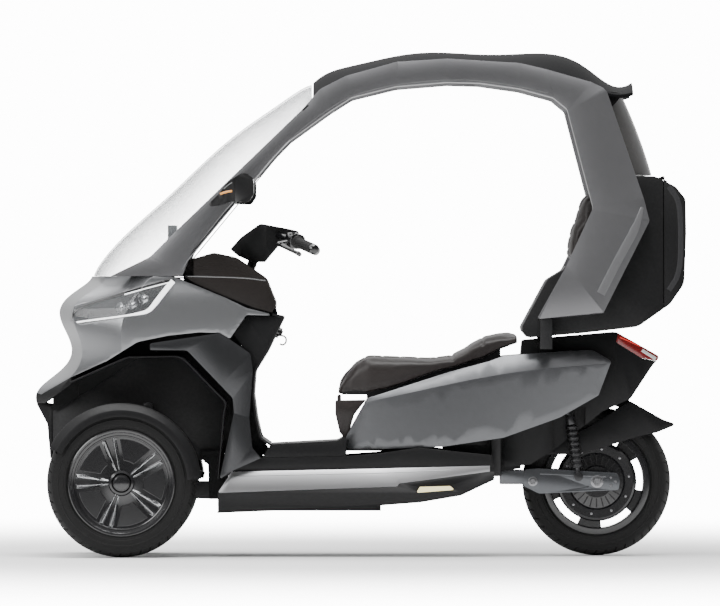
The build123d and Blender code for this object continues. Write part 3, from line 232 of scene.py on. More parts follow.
wheelBlack = makeMaterial("wheelBlack", (0.01, 0.01, 0.011), 0.22, 0.08, 12.0,
                          Coat_Weight=0.7, Coat_Roughness=0.1)
tyreRubber = makeMaterial("tyreRubber", (0.01, 0.01, 0.01), 0.62, 0.14, 14.0, 0.15, 1200.0, 0.6,
                          0.3, (0.03, 0.03, 0.03), Specular_IOR_Level=0.2)
gripRubber = makeMaterial("gripRubber", (0.01, 0.01, 0.01), 0.6, 0.1, 20.0, 0.3, 900.0, 0.8)
seatLeather = makeMaterial("seatLeather", (0.013, 0.0088, 0.0078), 0.44, 0.16, 16.0, 0.5, 620.0, 0.85,
                           0.2, (0.07, 0.05, 0.045), Sheen_Weight=0.15)
redLens = makeMaterial("redLens", (0.22, 0.008, 0.008), 0.12, 0.05, 20.0, Coat_Weight=1.0)
yellowLens = makeMaterial("yellowLens", (0.85, 0.74, 0.36), 0.2, 0.05, 20.0,
                          Emission_Strength=0.9, Emission_Color=(1.0, 0.9, 0.55, 1))


# Clear and tinted glazing: see-through from the front, with a reflective sheen towards grazing angles
def makeGlazing(name, tint, rough, solid, shine, coat=0.6, gloss=0.5):
    material = bpy.data.materials.new(name)
    material.use_nodes = True
    material.surface_render_method = "BLENDED"
    tree = material.node_tree
    shader = tree.nodes["Principled BSDF"]
    tone = useGroup(tree, mottleGroup, Color=(*tint, 1), Amount=0.04, Scale=6.0, Roughness=rough)
    link(tree, tone.outputs["Color"], shader.inputs["Base Color"])
    link(tree, tone.outputs["Roughness"], shader.inputs["Roughness"])
    facing = addNode(tree, "ShaderNodeLayerWeight", Blend=0.35)
    cover = addNode(tree, "ShaderNodeMapRange", To_Min=solid, To_Max=shine)
    link(tree, facing.outputs["Facing"], cover.inputs["Value"])
    link(tree, cover.outputs[0], shader.inputs["Alpha"])
    shader.inputs["Coat Weight"].default_value = coat
    shader.inputs["Specular IOR Level"].default_value = gloss
    return material


clearGlass = makeGlazing("clearGlass", (0.26, 0.275, 0.285), 0.06, 0.1, 0.72, 0.1, 0.25)
tintedGlass = makeGlazing("tintedGlass", (0.02, 0.017, 0.015), 0.06, 0.8, 0.97)
smokedGlass = makeGlazing("smokedGlass", (0.055, 0.053, 0.052), 0.3, 0.84, 0.9, 0.0, 0.1)
lampLens = makeGlazing("lampLens", (0.35, 0.36, 0.37), 0.05, 0.16, 0.75)

# Finish of each material slot, and of the pieces that differ from the rest of their slot
slotFinish = {
    "silver_paint": silverPaintShaded, "grey_paint": greyPaint, "bright_silver": brightSilver,
    "dark_plastic": darkPlastic, "soft_dash": softDash, "gloss_black": glossBlack,
    "chassis_steel": chassisSteel, "spring_steel": springSteel, "swingarm_aluminium": swingAluminium,
    "knuckle_aluminium": castAluminium, "wheel_black": wheelBlack,
    "tyre": tyreRubber, "grip_rubber": gripRubber, "seat_leather": seatLeather, "clear_glass": clearGlass,
    "tinted_glass": tintedGlass, "lamp_lens": lampLens, "red_lens": redLens, "yellow_lens": yellowLens,
}
# The fairing and the roof frames take the lightened copies of the silver paint, as painted light
ownFinish = {
    "roof_frames": railPaintLit, "front_fairing": fairingPaintLit, "roof_panel": roofBlack,
    "rear_window": smokedGlass,
}
slotOf = {part["node"]: part["material_slot"] for part in frame["record"]["subparts"]}
for name, node in nodes.items():
    node.data.materials.clear()
    node.data.materials.append(ownFinish.get(name, slotFinish[slotOf[name]]))
    node.data.shade_smooth()
print("stage: materials")


# A new piece from vertices and faces, riding on a body
def addPiece(name, verts, faces, material, body, smooth=35):
    mesh = bpy.data.meshes.new(name)
    mesh.from_pydata([tuple(v) for v in verts], [], faces)
    mesh.validate()
    obj = bpy.data.objects.new(name, mesh)
    bpy.context.scene.collection.objects.link(obj)
    bm = bmesh.new()
    bm.from_mesh(mesh)
    bmesh.ops.recalc_face_normals(bm, faces=bm.faces)
    bm.to_mesh(mesh)
    bm.free()
    mesh.materials.append(material)
    if smooth:
        mesh.shade_smooth()
        mesh.set_sharp_from_angle(angle=radians(smooth))
    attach(obj, body)
    return obj


def bevelPiece(obj, width, segments=2, angle=30):
    bevel = obj.modifiers.new("edges", "BEVEL")
    bevel.width = width
    bevel.segments = segments
    bevel.limit_method = "ANGLE"
    bevel.angle_limit = radians(angle)
    bevel.harden_normals = True


# Softer edges on a carried-over piece: its vertices are welded first, so that the bevel finds the edges
def soften(name, width):
    weld = nodes[name].modifiers.new("weld", "WELD")
    weld.merge_threshold = 0.00002
    bevelPiece(nodes[name], width, 2, 28)


def joinMeshes(meshes):
    verts, faces = [], []
    for v, f in meshes:
        base = len(verts)
        verts += v
        faces += [tuple(base + i for i in face) for face in f]
    return verts, faces


# Faces between neighbouring rows of count points: a row can close on itself, and so can the rows' order
def gridFaces(rows, count, rowLoops=False, rowsLoop=False):
    faces = []
    for i in range(rows if rowsLoop else rows - 1):
        n = (i + 1) % rows
        for j in range(count if rowLoops else count - 1):
            k = (j + 1) % count
            faces.append((i * count + j, i * count + k, n * count + k, n * count + j))
    return faces


# The same with a face over the first and the last row
def tubeFaces(rows, count, rowLoops=True):
    last = (rows - 1) * count
    return gridFaces(rows, count, rowLoops) + [tuple(range(count)), tuple(range(last, last + count))]


# Faces of a prism whose two ends have count points each
def prismFaces(count):
    faces = [tuple(range(count)), tuple(range(2 * count - 1, count - 1, -1))]
    faces += [(i, (i + 1) % count, count + (i + 1) % count, count + i) for i in range(count)]
    return faces


# Prism on a closed outline of (x, z) points between two y values
def prismMesh(points, low, high):
    return [(x, low, z) for x, z in points] + [(x, high, z) for x, z in points], prismFaces(len(points))


# Surface turned about the y line through centre: profile rows are (radius, y), and side mirrors y
def turnedMesh(profile, centre, side=1, segments=96):
    verts = []
    for k in range(segments):
        a = 2 * pi * k / segments
        for r, y in profile:
            verts.append((centre[0] + r * cos(a), centre[1] + side * y, centre[2] + r * sin(a)))
    return verts, gridFaces(segments, len(profile), True, True)


# The same set at a spot, with its axis along way
def turnedAt(profile, spot, way, segments):
    verts, faces = turnedMesh(profile, (0, 0, 0), 1, segments)
    turn = way.to_track_quat("Y", "Z").to_matrix()
    return [spot + turn @ Vector(v) for v in verts], faces


# Smooth round wire along points
def tubeCurve(name, points, radius, material, body):
    curve = bpy.data.curves.new(name, "CURVE")
    curve.dimensions = "3D"
    curve.bevel_depth = radius
    curve.bevel_resolution = 3
    curve.use_fill_caps = True
    spline = curve.splines.new("NURBS")
    spline.points.add(len(points) - 1)
    for point, place in zip(spline.points, points):
        point.co = (*place, 1)
    spline.order_u = 3
    spline.use_endpoint_u = True
    spline.resolution_u = 6
    obj = bpy.data.objects.new(name, curve)
    bpy.context.scene.collection.objects.link(obj)
    curve.materials.append(material)
    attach(obj, body)


frontX, rearX = -0.794, 0.794
wheelPlaces = {"left": (frontX, -0.28, 0.249), "right": (frontX, 0.28, 0.249), "rear": (rearX, 0.0, 0.249)}

# Tyres: a turned carcass whose tread is cut by slanted grooves and two rings round it
tyreShape = {
    "outer": 0.249, "front": 0.112, "rear": 0.14,
    # Radius and share of the width, from the bead up the side wall
    "wall": [(0.186, 0.45), (0.19, 0.452), (0.192, 0.468), (0.205, 0.485), (0.2075, 0.482), (0.209, 0.4925),
             (0.2115, 0.492), (0.2135, 0.476)],
    "bead": 0.36, "shoulder": 0.17, "crown": 0.13, "treadHalf": 0.42,
    "blocks": 44, "steps": (0.0, 0.36, 0.4, 0.5, 0.54), "grooveSteps": (2, 3), "depth": 0.0042, "slant": 0.55,
    "ring": (0.08, 0.17), "groove": (0.16, 0.97),
}


def makeTyre(name, node, body, centre, width):
    outer, seat, blocks = tyreShape["outer"], tyreShape["bead"] * width, tyreShape["blocks"]
    treadHalf = tyreShape["treadHalf"] * width
    flank = [(0.1655, 0.001 - seat), (0.1795, -seat)]
    flank += [(r, -share * width) for r, share in tyreShape["wall"]]
    flank.append((outer - tyreShape["shoulder"] * width, -0.455 * width))
    crown = []
    for i in range(-11, 12):
        t = i / 11
        crown.append((outer - tyreShape["crown"] * width * abs(t) ** 2.2 - 0.0004, t * treadHalf))
    profile = flank + crown + [(r, -y) for r, y in reversed(flank)]
    verts = []
    for k in range(blocks):
        for index, step in enumerate(tyreShape["steps"]):
            for r, y in profile:
                t = abs(y / treadHalf)
                inTread = t < 1.001 and r > outer - 0.14 * width
                low, high = tyreShape["groove"]
                cut = index in tyreShape["grooveSteps"] and low < t < high
                low, high = tyreShape["ring"]
                cut = inTread and (cut or low < t < high)
                reach = r - tyreShape["depth"] if cut else r
                a = 2 * pi * (k + step + tyreShape["slant"] * (t if inTread else 1.0)) / blocks
                verts.append((centre[0] + reach * cos(a), centre[1] + y, centre[2] + reach * sin(a)))
    faces = gridFaces(blocks * len(tyreShape["steps"]), len(profile), False, True)
    tyre = addPiece(name, verts, faces, tyreRubber, body, 30)
    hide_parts(node)


makeTyre("tyreFrontLeft", "front_tyre_left", "front_wheel_left", wheelPlaces["left"], tyreShape["front"])
makeTyre("tyreFrontRight", "front_tyre_right", "front_wheel_right", wheelPlaces["right"], tyreShape["front"])
makeTyre("tyreRear", "rear_tyre", "rear_wheel", wheelPlaces["rear"], tyreShape["rear"])

polished = makeMaterial("polished", (0.66, 0.67, 0.68), 0.2, 0.08, 40.0, Metallic=1.0, Coat_Weight=0.3)
discSteel = makeMaterial("discSteel", (0.4, 0.4, 0.41), 0.3, 0.15, 60.0, 0.2, 1500.0, 0.2, Metallic=1.0)
boltSteel = makeMaterial("boltSteel", (0.3, 0.3, 0.31), 0.32, 0.12, 60.0, Metallic=1.0)


# A point at radius r and angle a in the wheel's plane, shifted sideways by s
def spokePoint(centre, a, r, s=0.0):
    return (centre[0] + r * cos(a) - s * sin(a), centre[2] + r * sin(a) + s * cos(a))


# Points on an arc of radius r, between two angles in degrees
def arcPoints(centre, r, start, end, count):
    return [spokePoint(centre, radians(start + (end - start) * i / (count - 1)), r) for i in range(count)]


# Front wheels: rim, dished cover, five pairs of raised bright blades, hub cap and drilled brake disc
frontWheel = {
    "rim": [(0.159, -0.0453), (0.1745, -0.0453), (0.178, -0.044), (0.178, -0.0415), (0.167, -0.04),
            (0.1655, -0.036), (0.1655, 0.036), (0.167, 0.04), (0.178, 0.0415), (0.178, 0.044),
            (0.1745, 0.0453), (0.169, 0.044), (0.166, 0.04), (0.159, 0.038), (0.159, -0.038)],
    "cover": [(0.16, 0.015), (0.161, 0.033), (0.157, 0.0352), (0.154, 0.034), (0.1525, 0.0316),
              (0.148, 0.0308), (0.105, 0.0272), (0.07, 0.0258), (0.044, 0.0285), (0.04, 0.033),
              (0.033, 0.0352), (0.032, 0.015)],
    "hub": [(0.0001, 0.0378), (0.018, 0.0372), (0.024, 0.0352), (0.0246, 0.033), (0.028, 0.0326),
            (0.03, 0.03), (0.03, -0.029), (0.0001, -0.029)],
    "spokes": 5, "firstSpoke": 34, "bladeBase": 0.027,
    # Radius with the near and the far edge of a blade, then radius, sideways place and height of its crest
    "blade": [(0.04, 0.0022, 0.0085), (0.095, 0.005, 0.02), (0.154, 0.008, 0.029)],
    "crest": [(0.046, 0.0046, 0.035), (0.095, 0.0098, 0.0412), (0.146, 0.015, 0.0385)],
    # Radius and half angle of a panel's outer and inner edge, then its two faces
    "panel": ((0.146, 22), (0.074, 15)), "panelFaces": (0.022, 0.0318),
    "disc": [(0.06, -0.034), (0.104, -0.034), (0.104, -0.03), (0.06, -0.03)],
    "carrier": [(0.028, -0.0335), (0.066, -0.032), (0.066, -0.029), (0.028, -0.028)],
    "holes": 30, "hole": [(0.0001, -0.03415), (0.0032, -0.03415), (0.0032, -0.0299), (0.0001, -0.0299)],
}
bladeFaces = [(0, 1, 7, 6), (1, 2, 8, 7), (2, 3, 8), (3, 4, 7, 8), (4, 5, 6, 7), (5, 0, 6), (0, 5, 4, 1),
              (1, 4, 3, 2)]


def makeFrontWheel(side, label):
    centre, body, sizes = wheelPlaces[label], f"front_wheel_{label}", frontWheel
    turned = [turnedMesh(sizes[key], centre, side, segments)
              for key, segments in (("rim", 128), ("cover", 128), ("hub", 64))]
    wheel = addPiece(f"wheelFront_{label}", *joinMeshes(turned), wheelBlack, body, 28)
    blades, panels = [], []
    (outer, outerHalf), (inner, innerHalf) = sizes["panel"]
    for k in range(sizes["spokes"]):
        angle = sizes["firstSpoke"] + 360 * k / sizes["spokes"]
        for way in (-1, 1):
            rows = [(r, way * near, sizes["bladeBase"]) for r, near, far in sizes["blade"]]
            rows += [(r, way * far, sizes["bladeBase"]) for r, near, far in reversed(sizes["blade"])]
            rows += [(r, way * s, y) for r, s, y in sizes["crest"]]
            verts = []
            for r, s, y in rows:
                x, z = spokePoint(centre, radians(angle), r, s)
                verts.append((x, centre[1] + side * y, z))
            blades.append((verts, bladeFaces))
        middle = angle + 180 / sizes["spokes"]
        outline = arcPoints(centre, outer, middle - outerHalf, middle + outerHalf, 9)
        outline += arcPoints(centre, inner, middle + innerHalf, middle - innerHalf, 5)
        panels.append(prismMesh(outline, *(centre[1] + side * y for y in sizes["panelFaces"])))
    bevelPiece(addPiece(f"spokes_{label}", *joinMeshes(blades), polished, body, 40), 0.0012, 2, 20)
    bevelPiece(addPiece(f"wheelPanels_{label}", *joinMeshes(panels), wheelBlack, body, 35), 0.0024, 3, 35)
    holes = []
    for k in range(sizes["holes"]):
        x, z = spokePoint(centre, 2 * pi * k / sizes["holes"], 0.074 + 0.0095 * (k % 3))
        holes.append(turnedMesh(sizes["hole"], (x, centre[1], z), side, 10))
    carrier = [turnedMesh(sizes["carrier"], centre, side, 48)]
    addPiece(f"brakeDisc_{label}", *turnedMesh(sizes["disc"], centre, side, 96), discSteel, body, 30)
    addPiece(f"discCarrier_{label}", *joinMeshes(carrier + holes), chassisSteel, body, 30)
    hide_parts(f"front_wheel_{label}")


makeFrontWheel(-1, "left")
makeFrontWheel(1, "right")

# Rear wheel: rim, five webs between curved windows, and a hub motor with ribs and a ring of bolts on each side
rearWheel = {
    "rim": [(0.159, -0.0554), (0.1745, -0.0554), (0.178, -0.054), (0.178, -0.0515), (0.167, -0.05),
            (0.1655, -0.046), (0.1655, 0.046), (0.167, 0.05), (0.178, 0.0515), (0.178, 0.054),
            (0.1745, 0.0554), (0.169, 0.054), (0.166, 0.048), (0.157, 0.044), (0.156, 0.013),
            (0.156, -0.013), (0.157, -0.044), (0.159, -0.048)],
    "motorHalf": [(0.018, -0.0418), (0.05, -0.0418), (0.054, -0.0385), (0.09, -0.036), (0.096, -0.041),
                  (0.123, -0.0416), (0.13, -0.038), (0.134, -0.032), (0.134, -0.024), (0.131, -0.023)],
    "webs": 5, "firstWeb": 45, "webHalfAngle": 15, "webRadii": (0.158, 0.132), "webHalf": 0.0128,
    "bolts": 10, "firstBolt": 9, "boltCircle": 0.11,
    "bolt": [(0.0001, 0.0419), (0.003, 0.0419), (0.0046, 0.0412), (0.0046, 0.039), (0.0001, 0.039)],
    "ribs": 24, "rib": ((0.057, -0.0016), (0.088, -0.0022), (0.088, 0.0022), (0.057, 0.0016)),
    "ribFaces": (0.034, 0.0392),
}


def makeRearWheel():
    centre, sizes = wheelPlaces["rear"], rearWheel
    motor = sizes["motorHalf"] + [(r, -y) for r, y in reversed(sizes["motorHalf"])]
    solids, bolts = [turnedMesh(sizes["rim"], centre, 1, 128), turnedMesh(motor, centre, 1, 128)], []
    outer, inner = sizes["webRadii"]
    for k in range(sizes["webs"]):
        start = sizes["firstWeb"] + 360 * k / sizes["webs"] - sizes["webHalfAngle"]
        end = start + 2 * sizes["webHalfAngle"]
        outline = arcPoints(centre, outer, start, end, 7) + arcPoints(centre, inner, end, start, 7)
        solids.append(prismMesh(outline, -sizes["webHalf"], sizes["webHalf"]))
    for face in (-1, 1):
        for k in range(sizes["bolts"]):
            angle = radians(sizes["firstBolt"] + 360 * k / sizes["bolts"])
            x, z = spokePoint(centre, angle, sizes["boltCircle"])
            bolts.append(turnedMesh(sizes["bolt"], (x, 0, z), face, 12))
        for k in range(sizes["ribs"]):
            outline = [spokePoint(centre, 2 * pi * k / sizes["ribs"], r, s) for r, s in sizes["rib"]]
            solids.append(prismMesh(outline, *(face * y for y in sizes["ribFaces"])))
    wheel = addPiece("wheelRear", *joinMeshes(solids), wheelBlack, "rear_wheel", 28)
    addPiece("motorBolts", *joinMeshes(bolts), boltSteel, "rear_wheel", 30)
    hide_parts("rear_wheel")


makeRearWheel()
print("stage: wheels")


# Rays are cast at the carried-over pieces, to lay trims and seams on their faces
def faceTree(*names):
    bm = bmesh.new()
    for name in names:
        source = nodes[name] if isinstance(name, str) else name
        bm.from_mesh(source.data)
    tree = BVHTree.FromBMesh(bm)
    bm.free()
    return tree


# Where a ray meets the tree, lifted off the face towards the ray's start, and the face's outward direction
def rayPoint(tree, start, way, lift=0.0):
    hit, normal, _, _ = tree.ray_cast(Vector(start), Vector(way))
    if hit is None:
        return None, None
    if normal.dot(Vector(way)) > 0:
        normal = -normal
    return hit + normal * lift, normal


rayStart = {"side": 0.6, "top": 2.0, "front": -1.5}


def sidePoint(tree, x, z, side, lift=0.0):
    return rayPoint(tree, (x, side * rayStart["side"], z), (0, -side, 0), lift)[0]


def topPoint(tree, x, y, lift=0.0):
    return rayPoint(tree, (x, y, rayStart["top"]), (0, 0, -1), lift)[0]


def frontPoint(tree, y, z, lift=0.0):
    return rayPoint(tree, (rayStart["front"], y, z), (1, 0, 0), lift)[0]


# Corner-cutting curve through a few points, then even steps along it
def evenPath(points, step, rounds=3):
    line = [Vector(p) for p in points]
    for _ in range(rounds):
        finer = [line[0]]
        for a, b in zip(line, line[1:]):
            finer += [a.lerp(b, 0.25), a.lerp(b, 0.75)]
        line = finer + [line[-1]]
    out, carry = [line[0]], 0.0
    for a, b in zip(line, line[1:]):
        length = (b - a).length
        at = step - carry
        while at < length:
            out.append(a.lerp(b, at / length))
            at += step
        carry = (carry + length) % step
    return out + [line[-1]]


# Even path from points given from the front or the rear axle on
def axlePath(axleX, points, step=0.004, rounds=2):
    return evenPath([(axleX + x, z) for x, z in points], step, rounds)


# Strip laid on a side face along an (x, z) path: a low ridge with rounded shoulders. The width is a number,
# or a function of how far along the path it is
strip = {
    "shape": ((-0.5, 0.0), (-0.42, 0.75), (-0.2, 1.0), (0.2, 1.0), (0.42, 0.75), (0.5, 0.0)), "sink": 0.0006,
}


def sideStrip(tree, path, width, tall, side):
    rows = []
    for i, p in enumerate(path):
        ahead = path[min(i + 1, len(path) - 1)] - path[max(i - 1, 0)]
        ahead.normalize()
        across = Vector((-ahead.y, ahead.x))
        size = width(i / (len(path) - 1)) if callable(width) else width
        row = []
        for t, up in strip["shape"]:
            spot = p + across * (size * t)
            row.append(sidePoint(tree, spot.x, spot.y, side, tall * up - strip["sink"]))
        if all(row):
            rows.append(row)
    faces = tubeFaces(len(rows), len(strip["shape"]), False) if rows else []
    return [v for row in rows for v in row], faces


def bothSides(name, tree, path, width, tall, material, body):
    strips = [sideStrip(tree, path, width, tall, side) for side in (-1, 1)]
    return addPiece(name, *joinMeshes(strips), material, body, 50)


def bakeModifiers(obj):
    graph = bpy.context.evaluated_depsgraph_get()
    graph.update()
    mesh = bpy.data.meshes.new_from_object(obj.evaluated_get(graph))
    obj.modifiers.clear()
    obj.data = mesh


# Value of a row of (u, value) points at u, with a half smoothed step between them
def valueOn(path, u):
    for a, b in zip(path, path[1:]):
        if a[0] <= u <= b[0]:
            t = (u - a[0]) / max(b[0] - a[0], 1e-9)
            t = t * t * (3 - 2 * t) * 0.5 + t * 0.5
            return a[1] + t * (b[1] - a[1])
    return path[0][1] if u < path[0][0] else path[-1][1]


# Closed pad lofted along u: crowned face, rolled shoulders, flat back, as wide as its "wide" row says
def padMesh(pad, place):
    verts = []
    ring = 28
    low, high = pad["face"][0][0], pad["face"][-1][0]
    for i in range(pad["rows"] + 1):
        u = low + (high - low) * (0.5 - 0.5 * cos(pi * i / pad["rows"]))
        top, bottom, wide = valueOn(pad["face"], u), valueOn(pad["back"], u), valueOn(pad["wide"], u)
        middle, half = (top + bottom) / 2, (top - bottom) / 2
        for k in range(ring):
            a = 2 * pi * (k + 0.5) / ring
            power = 0.36 if sin(a) > 0 else 0.2
            y = wide * (1 if cos(a) > 0 else -1) * abs(cos(a)) ** power
            v = middle + half * (1 if sin(a) > 0 else -1) * abs(sin(a)) ** power
            if sin(a) > 0:
                v -= pad["crown"] * (y / wide) ** 2
            verts.append(place(u, y, v))
    return verts, tubeFaces(pad["rows"] + 1, ring)


# The pad is remeshed, blown up a little by cloth pressure inside a cap, subdivided, and then sewn
padding = {"relax": 0.5, "relaxTurns": 4, "pressure": 4.0, "frames": 20, "backSwell": 0.001}


def upholster(name, pad, place, body, back):
    obj = addPiece(name, *padMesh(pad, place), seatLeather, body, 0)
    remesh = obj.modifiers.new("remesh", "REMESH")
    remesh.mode = "VOXEL"
    remesh.voxel_size = pad["voxel"]
    bakeModifiers(obj)
    relax = obj.modifiers.new("relax", "SMOOTH")
    relax.factor = padding["relax"]
    relax.iterations = padding["relaxTurns"]
    bakeModifiers(obj)
    before = [v.co.copy() for v in obj.data.vertices]
    facing = [v.normal.copy() for v in obj.data.vertices]
    cloth = obj.modifiers.new("cloth", "CLOTH")
    cloth.settings.use_pressure = True
    cloth.settings.uniform_pressure_force = padding["pressure"]
    cloth.settings.effector_weights.gravity = 0
    for step in range(1, padding["frames"] + 1):
        bpy.context.scene.frame_set(step)
    bakeModifiers(obj)
    bpy.context.scene.frame_set(1)
    for vertex, old, normal in zip(obj.data.vertices, before, facing):
        move = vertex.co - old
        cap = padding["backSwell"] if normal.dot(back) > 0.4 else pad["swell"]
        if move.length > cap:
            move *= cap / move.length
        vertex.co = old + move
    obj.data.materials.clear()
    obj.data.materials.append(seatLeather)
    finer = obj.modifiers.new("finer", "SUBSURF")
    finer.levels = 1
    finer.render_levels = 1
    bakeModifiers(obj)
    facing = [v.normal.copy() for v in obj.data.vertices]
    for vertex, normal in zip(obj.data.vertices, facing):
        depth = pad["sew"](vertex.co, normal)
        if depth:
            vertex.co -= normal * depth
    obj.data.shade_smooth()
    return obj


def groove(distance, width, depth):
    return depth * max(0.0, 1 - abs(distance) / width) ** 1.5 if abs(distance) < width else 0.0


# Rider's seat: nose, dished middle, raised lumbar end. Rows give x from the rear axle on, with a height or a
# half width
seatPad = {
    "face": [(-0.8715, 0.56), (-0.86, 0.585), (-0.836, 0.6165), (-0.8, 0.652), (-0.765, 0.6705),
             (-0.66, 0.6665), (-0.56, 0.662), (-0.494, 0.669), (-0.45, 0.69), (-0.41, 0.716), (-0.374, 0.735),
             (-0.32, 0.745), (-0.266, 0.749)],
    "back": [(-0.8715, 0.5435), (-0.77, 0.5435), (-0.723, 0.5535), (-0.494, 0.628), (-0.39, 0.659),
             (-0.345, 0.68), (-0.327, 0.694), (-0.266, 0.714)],
    "wide": [(-0.8715, 0.112), (-0.855, 0.126), (-0.82, 0.14), (-0.76, 0.152), (-0.65, 0.1585),
             (-0.45, 0.1595), (-0.266, 0.156)],
    "rows": 64, "crown": 0.009, "swell": 0.0045, "voxel": 0.0065,
    # Seams across with x, width and depth, then the line along each side and the sewn channels between them
    "seams": ((-0.487, 0.01, 0.0045), (-0.385, 0.009, 0.0035)), "seamBow": 0.1,
    "inner": 0.105, "channels": (-0.78, -0.72, -0.66, -0.6, -0.54), "channelBow": 0.5,
}
for key in ("face", "back", "wide"):
    seatPad[key] = [(rearX + x, value) for x, value in seatPad[key]]


def sewSeat(co, normal):
    depth = 0.0
    if normal.z > 0.25:
        for x, width, deep in seatPad["seams"]:
            depth += groove(co.x - (rearX + x) - seatPad["seamBow"] * co.y * co.y, width, deep)
        inner = seatPad["inner"] - 0.1 * max(0.0, rearX - 0.7 - co.x)
        if co.x < rearX + seatPad["seams"][0][0]:
            depth += groove(abs(co.y) - inner, 0.009, 0.004)
            for x in seatPad["channels"]:
                if abs(co.y) < inner:
                    depth += groove(co.x - (rearX + x) - seatPad["channelBow"] * co.y * co.y, 0.008, 0.0028)
    return depth


seatPad["sew"] = sewSeat
seatPiece = upholster("seatPad", seatPad, lambda u, y, v: (u, y, v), "seat", Vector((0, 0, -1)))
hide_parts("seat")

# Backrest pad between the rear pillars. Rows give a height with x from the rear axle on, or with a half width
backPad = {
    "face": [(0.984, -0.074), (0.992, -0.09), (1.006, -0.0985), (1.045, -0.094), (1.087, -0.0855),
             (1.137, -0.0655), (1.17, -0.057), (1.195, -0.0475), (1.207, -0.036), (1.2125, -0.018)],
    "back": [(0.984, -0.0625), (1.04, -0.036), (1.1, -0.007), (1.151, 0.018), (1.2125, 0.018)],
    "wide": [(0.984, 0.094), (0.996, 0.108), (1.02, 0.118), (1.08, 0.1225), (1.15, 0.1215), (1.19, 0.112),
             (1.2125, 0.09)],
    "rows": 40, "crown": 0.01, "swell": 0.0045, "voxel": 0.006,
    "inner": 0.072, "channels": (1.03, 1.075, 1.12, 1.165), "channelBow": 0.6,
}
for key in ("face", "back"):
    backPad[key] = [(z, -(rearX + x)) for z, x in backPad[key]]


def sewBack(co, normal):
    depth = 0.0
    if normal.x < -0.25:
        depth += groove(abs(co.y) - backPad["inner"], 0.009, 0.0045)
        for z in backPad["channels"]:
            if abs(co.y) < backPad["inner"]:
                depth += groove(co.z - z + backPad["channelBow"] * co.y * co.y, 0.008, 0.003)
    return depth


backPad["sew"] = sewBack
backPiece = upholster("backrestPad", backPad, lambda u, y, v: (-v, y, u), "chassis", Vector((1, 0, 0)))
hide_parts("backrest")

# Thread of stitches: short rounded beads laid end to end along the seat's seams
seatThread = makeMaterial("seatThread", (0.035, 0.026, 0.022), 0.6, 0.1, 60.0, 0.2, 2600.0, 0.5,
                          Sheen_Weight=0.2)
stitch = {
    "radius": 0.0007, "sides": 5, "lift": 0.0003, "step": 0.003, "longest": 0.02,
    "bead": ((0.0, 0.45), (0.25, 1.0), (0.75, 1.0), (1.0, 0.45)),
    "across": (-0.487 - 0.008, -0.487 + 0.008), "acrossHalf": 0.135,
    "along": ((-0.8, 0.095), (-0.7, 0.105), (-0.495, 0.105)), "alongGaps": (-0.007, 0.007),
}


def stitchLine(name, paths, body):
    beads = []
    for path in paths:
        for a, b in zip(path[0::2], path[1::2]):
            way = b - a
            if not 1e-5 <= way.length <= stitch["longest"]:
                continue
            side = way.cross(Vector((0, 0, 1)))
            side = side.normalized() if side.length > 1e-6 else Vector((1, 0, 0))
            up = side.cross(way).normalized()
            verts = []
            for t, scale in stitch["bead"]:
                for k in range(stitch["sides"]):
                    turn = 2 * pi * k / stitch["sides"]
                    around = side * cos(turn) + up * sin(turn)
                    verts.append(a.lerp(b, t) + around * stitch["radius"] * scale)
            beads.append((verts, tubeFaces(len(stitch["bead"]), stitch["sides"])))
    addPiece(name, *joinMeshes(beads), seatThread, body, 60)


seatLines = []
for x in stitch["across"]:
    ends = [(rearX + x, -stitch["acrossHalf"]), (rearX + x, stitch["acrossHalf"])]
    seatLines.append(evenPath(ends, stitch["step"], 0))
for side in (-1, 1):
    for gap in stitch["alongGaps"]:
        points = [(rearX + x, side * (y + gap)) for x, y in stitch["along"]]
        seatLines.append(evenPath(points, stitch["step"], 2))
seatTree = faceTree(seatPiece)
seams = [[topPoint(seatTree, p.x, p.y, stitch["lift"]) for p in line] for line in seatLines]
stitchLine("seatStitches", [[p for p in line if p] for line in seams], "seat")
print("stage: seat")

# Headlights: white light guides, dark bezels and three projector modules behind each lens
lampWhite = makeMaterial("lampWhite", (0.86, 0.87, 0.88), 0.25, 0.03, 30.0,
                         Emission_Strength=2.2, Emission_Color=(1, 1, 1, 1))
lampChrome = makeMaterial("lampChrome", (0.62, 0.63, 0.65), 0.12, 0.06, 30.0, Metallic=1.0)
headlight = {
    "guide": [(-0.15, 0.7835), (-0.118, 0.788), (-0.02, 0.8005), (0.06, 0.812), (0.09, 0.82),
              (0.108, 0.84), (0.14, 0.882), (0.172, 0.921)],
    "guideWidth": lambda t: 0.0055 + 0.0125 * max(0.0, min(1.0, (t - 0.45) / 0.3)),
    "bezel": [(0.165, 0.922), (0.12, 0.912), (0.04, 0.89), (-0.06, 0.858), (-0.145, 0.83),
              (-0.158, 0.817)],
    "line": [(0.168, 0.918), (0.124, 0.907), (0.06, 0.89), (0.01, 0.876)],
    "nose": [(-0.158, 0.818), (-0.166, 0.806), (-0.168, 0.796)],
    # Modules: x, z and radius, how far behind the lens, and which way they face
    "modules": ((-0.01, 0.838, 0.0135), (0.028, 0.846, 0.0135), (0.07, 0.862, 0.0165)),
    "sink": -0.012, "facing": (-0.85, 0.75, 0.05),
}
lampTree = faceTree("headlights")
noseTree = faceTree("front_fairing", "headlights")
for name, key, width, tall, material in (
        ("lampGuide", "guide", headlight["guideWidth"], 0.0022, lampWhite),
        ("lampBezel", "bezel", 0.007, 0.0014, glossBlack),
        ("lampLine", "line", 0.0034, 0.0018, lampWhite),
        ("lampBezelNose", "nose", 0.009, 0.0014, glossBlack)):
    bothSides(name, noseTree, axlePath(frontX, headlight[key]), width, tall, material, "chassis")
modules = []
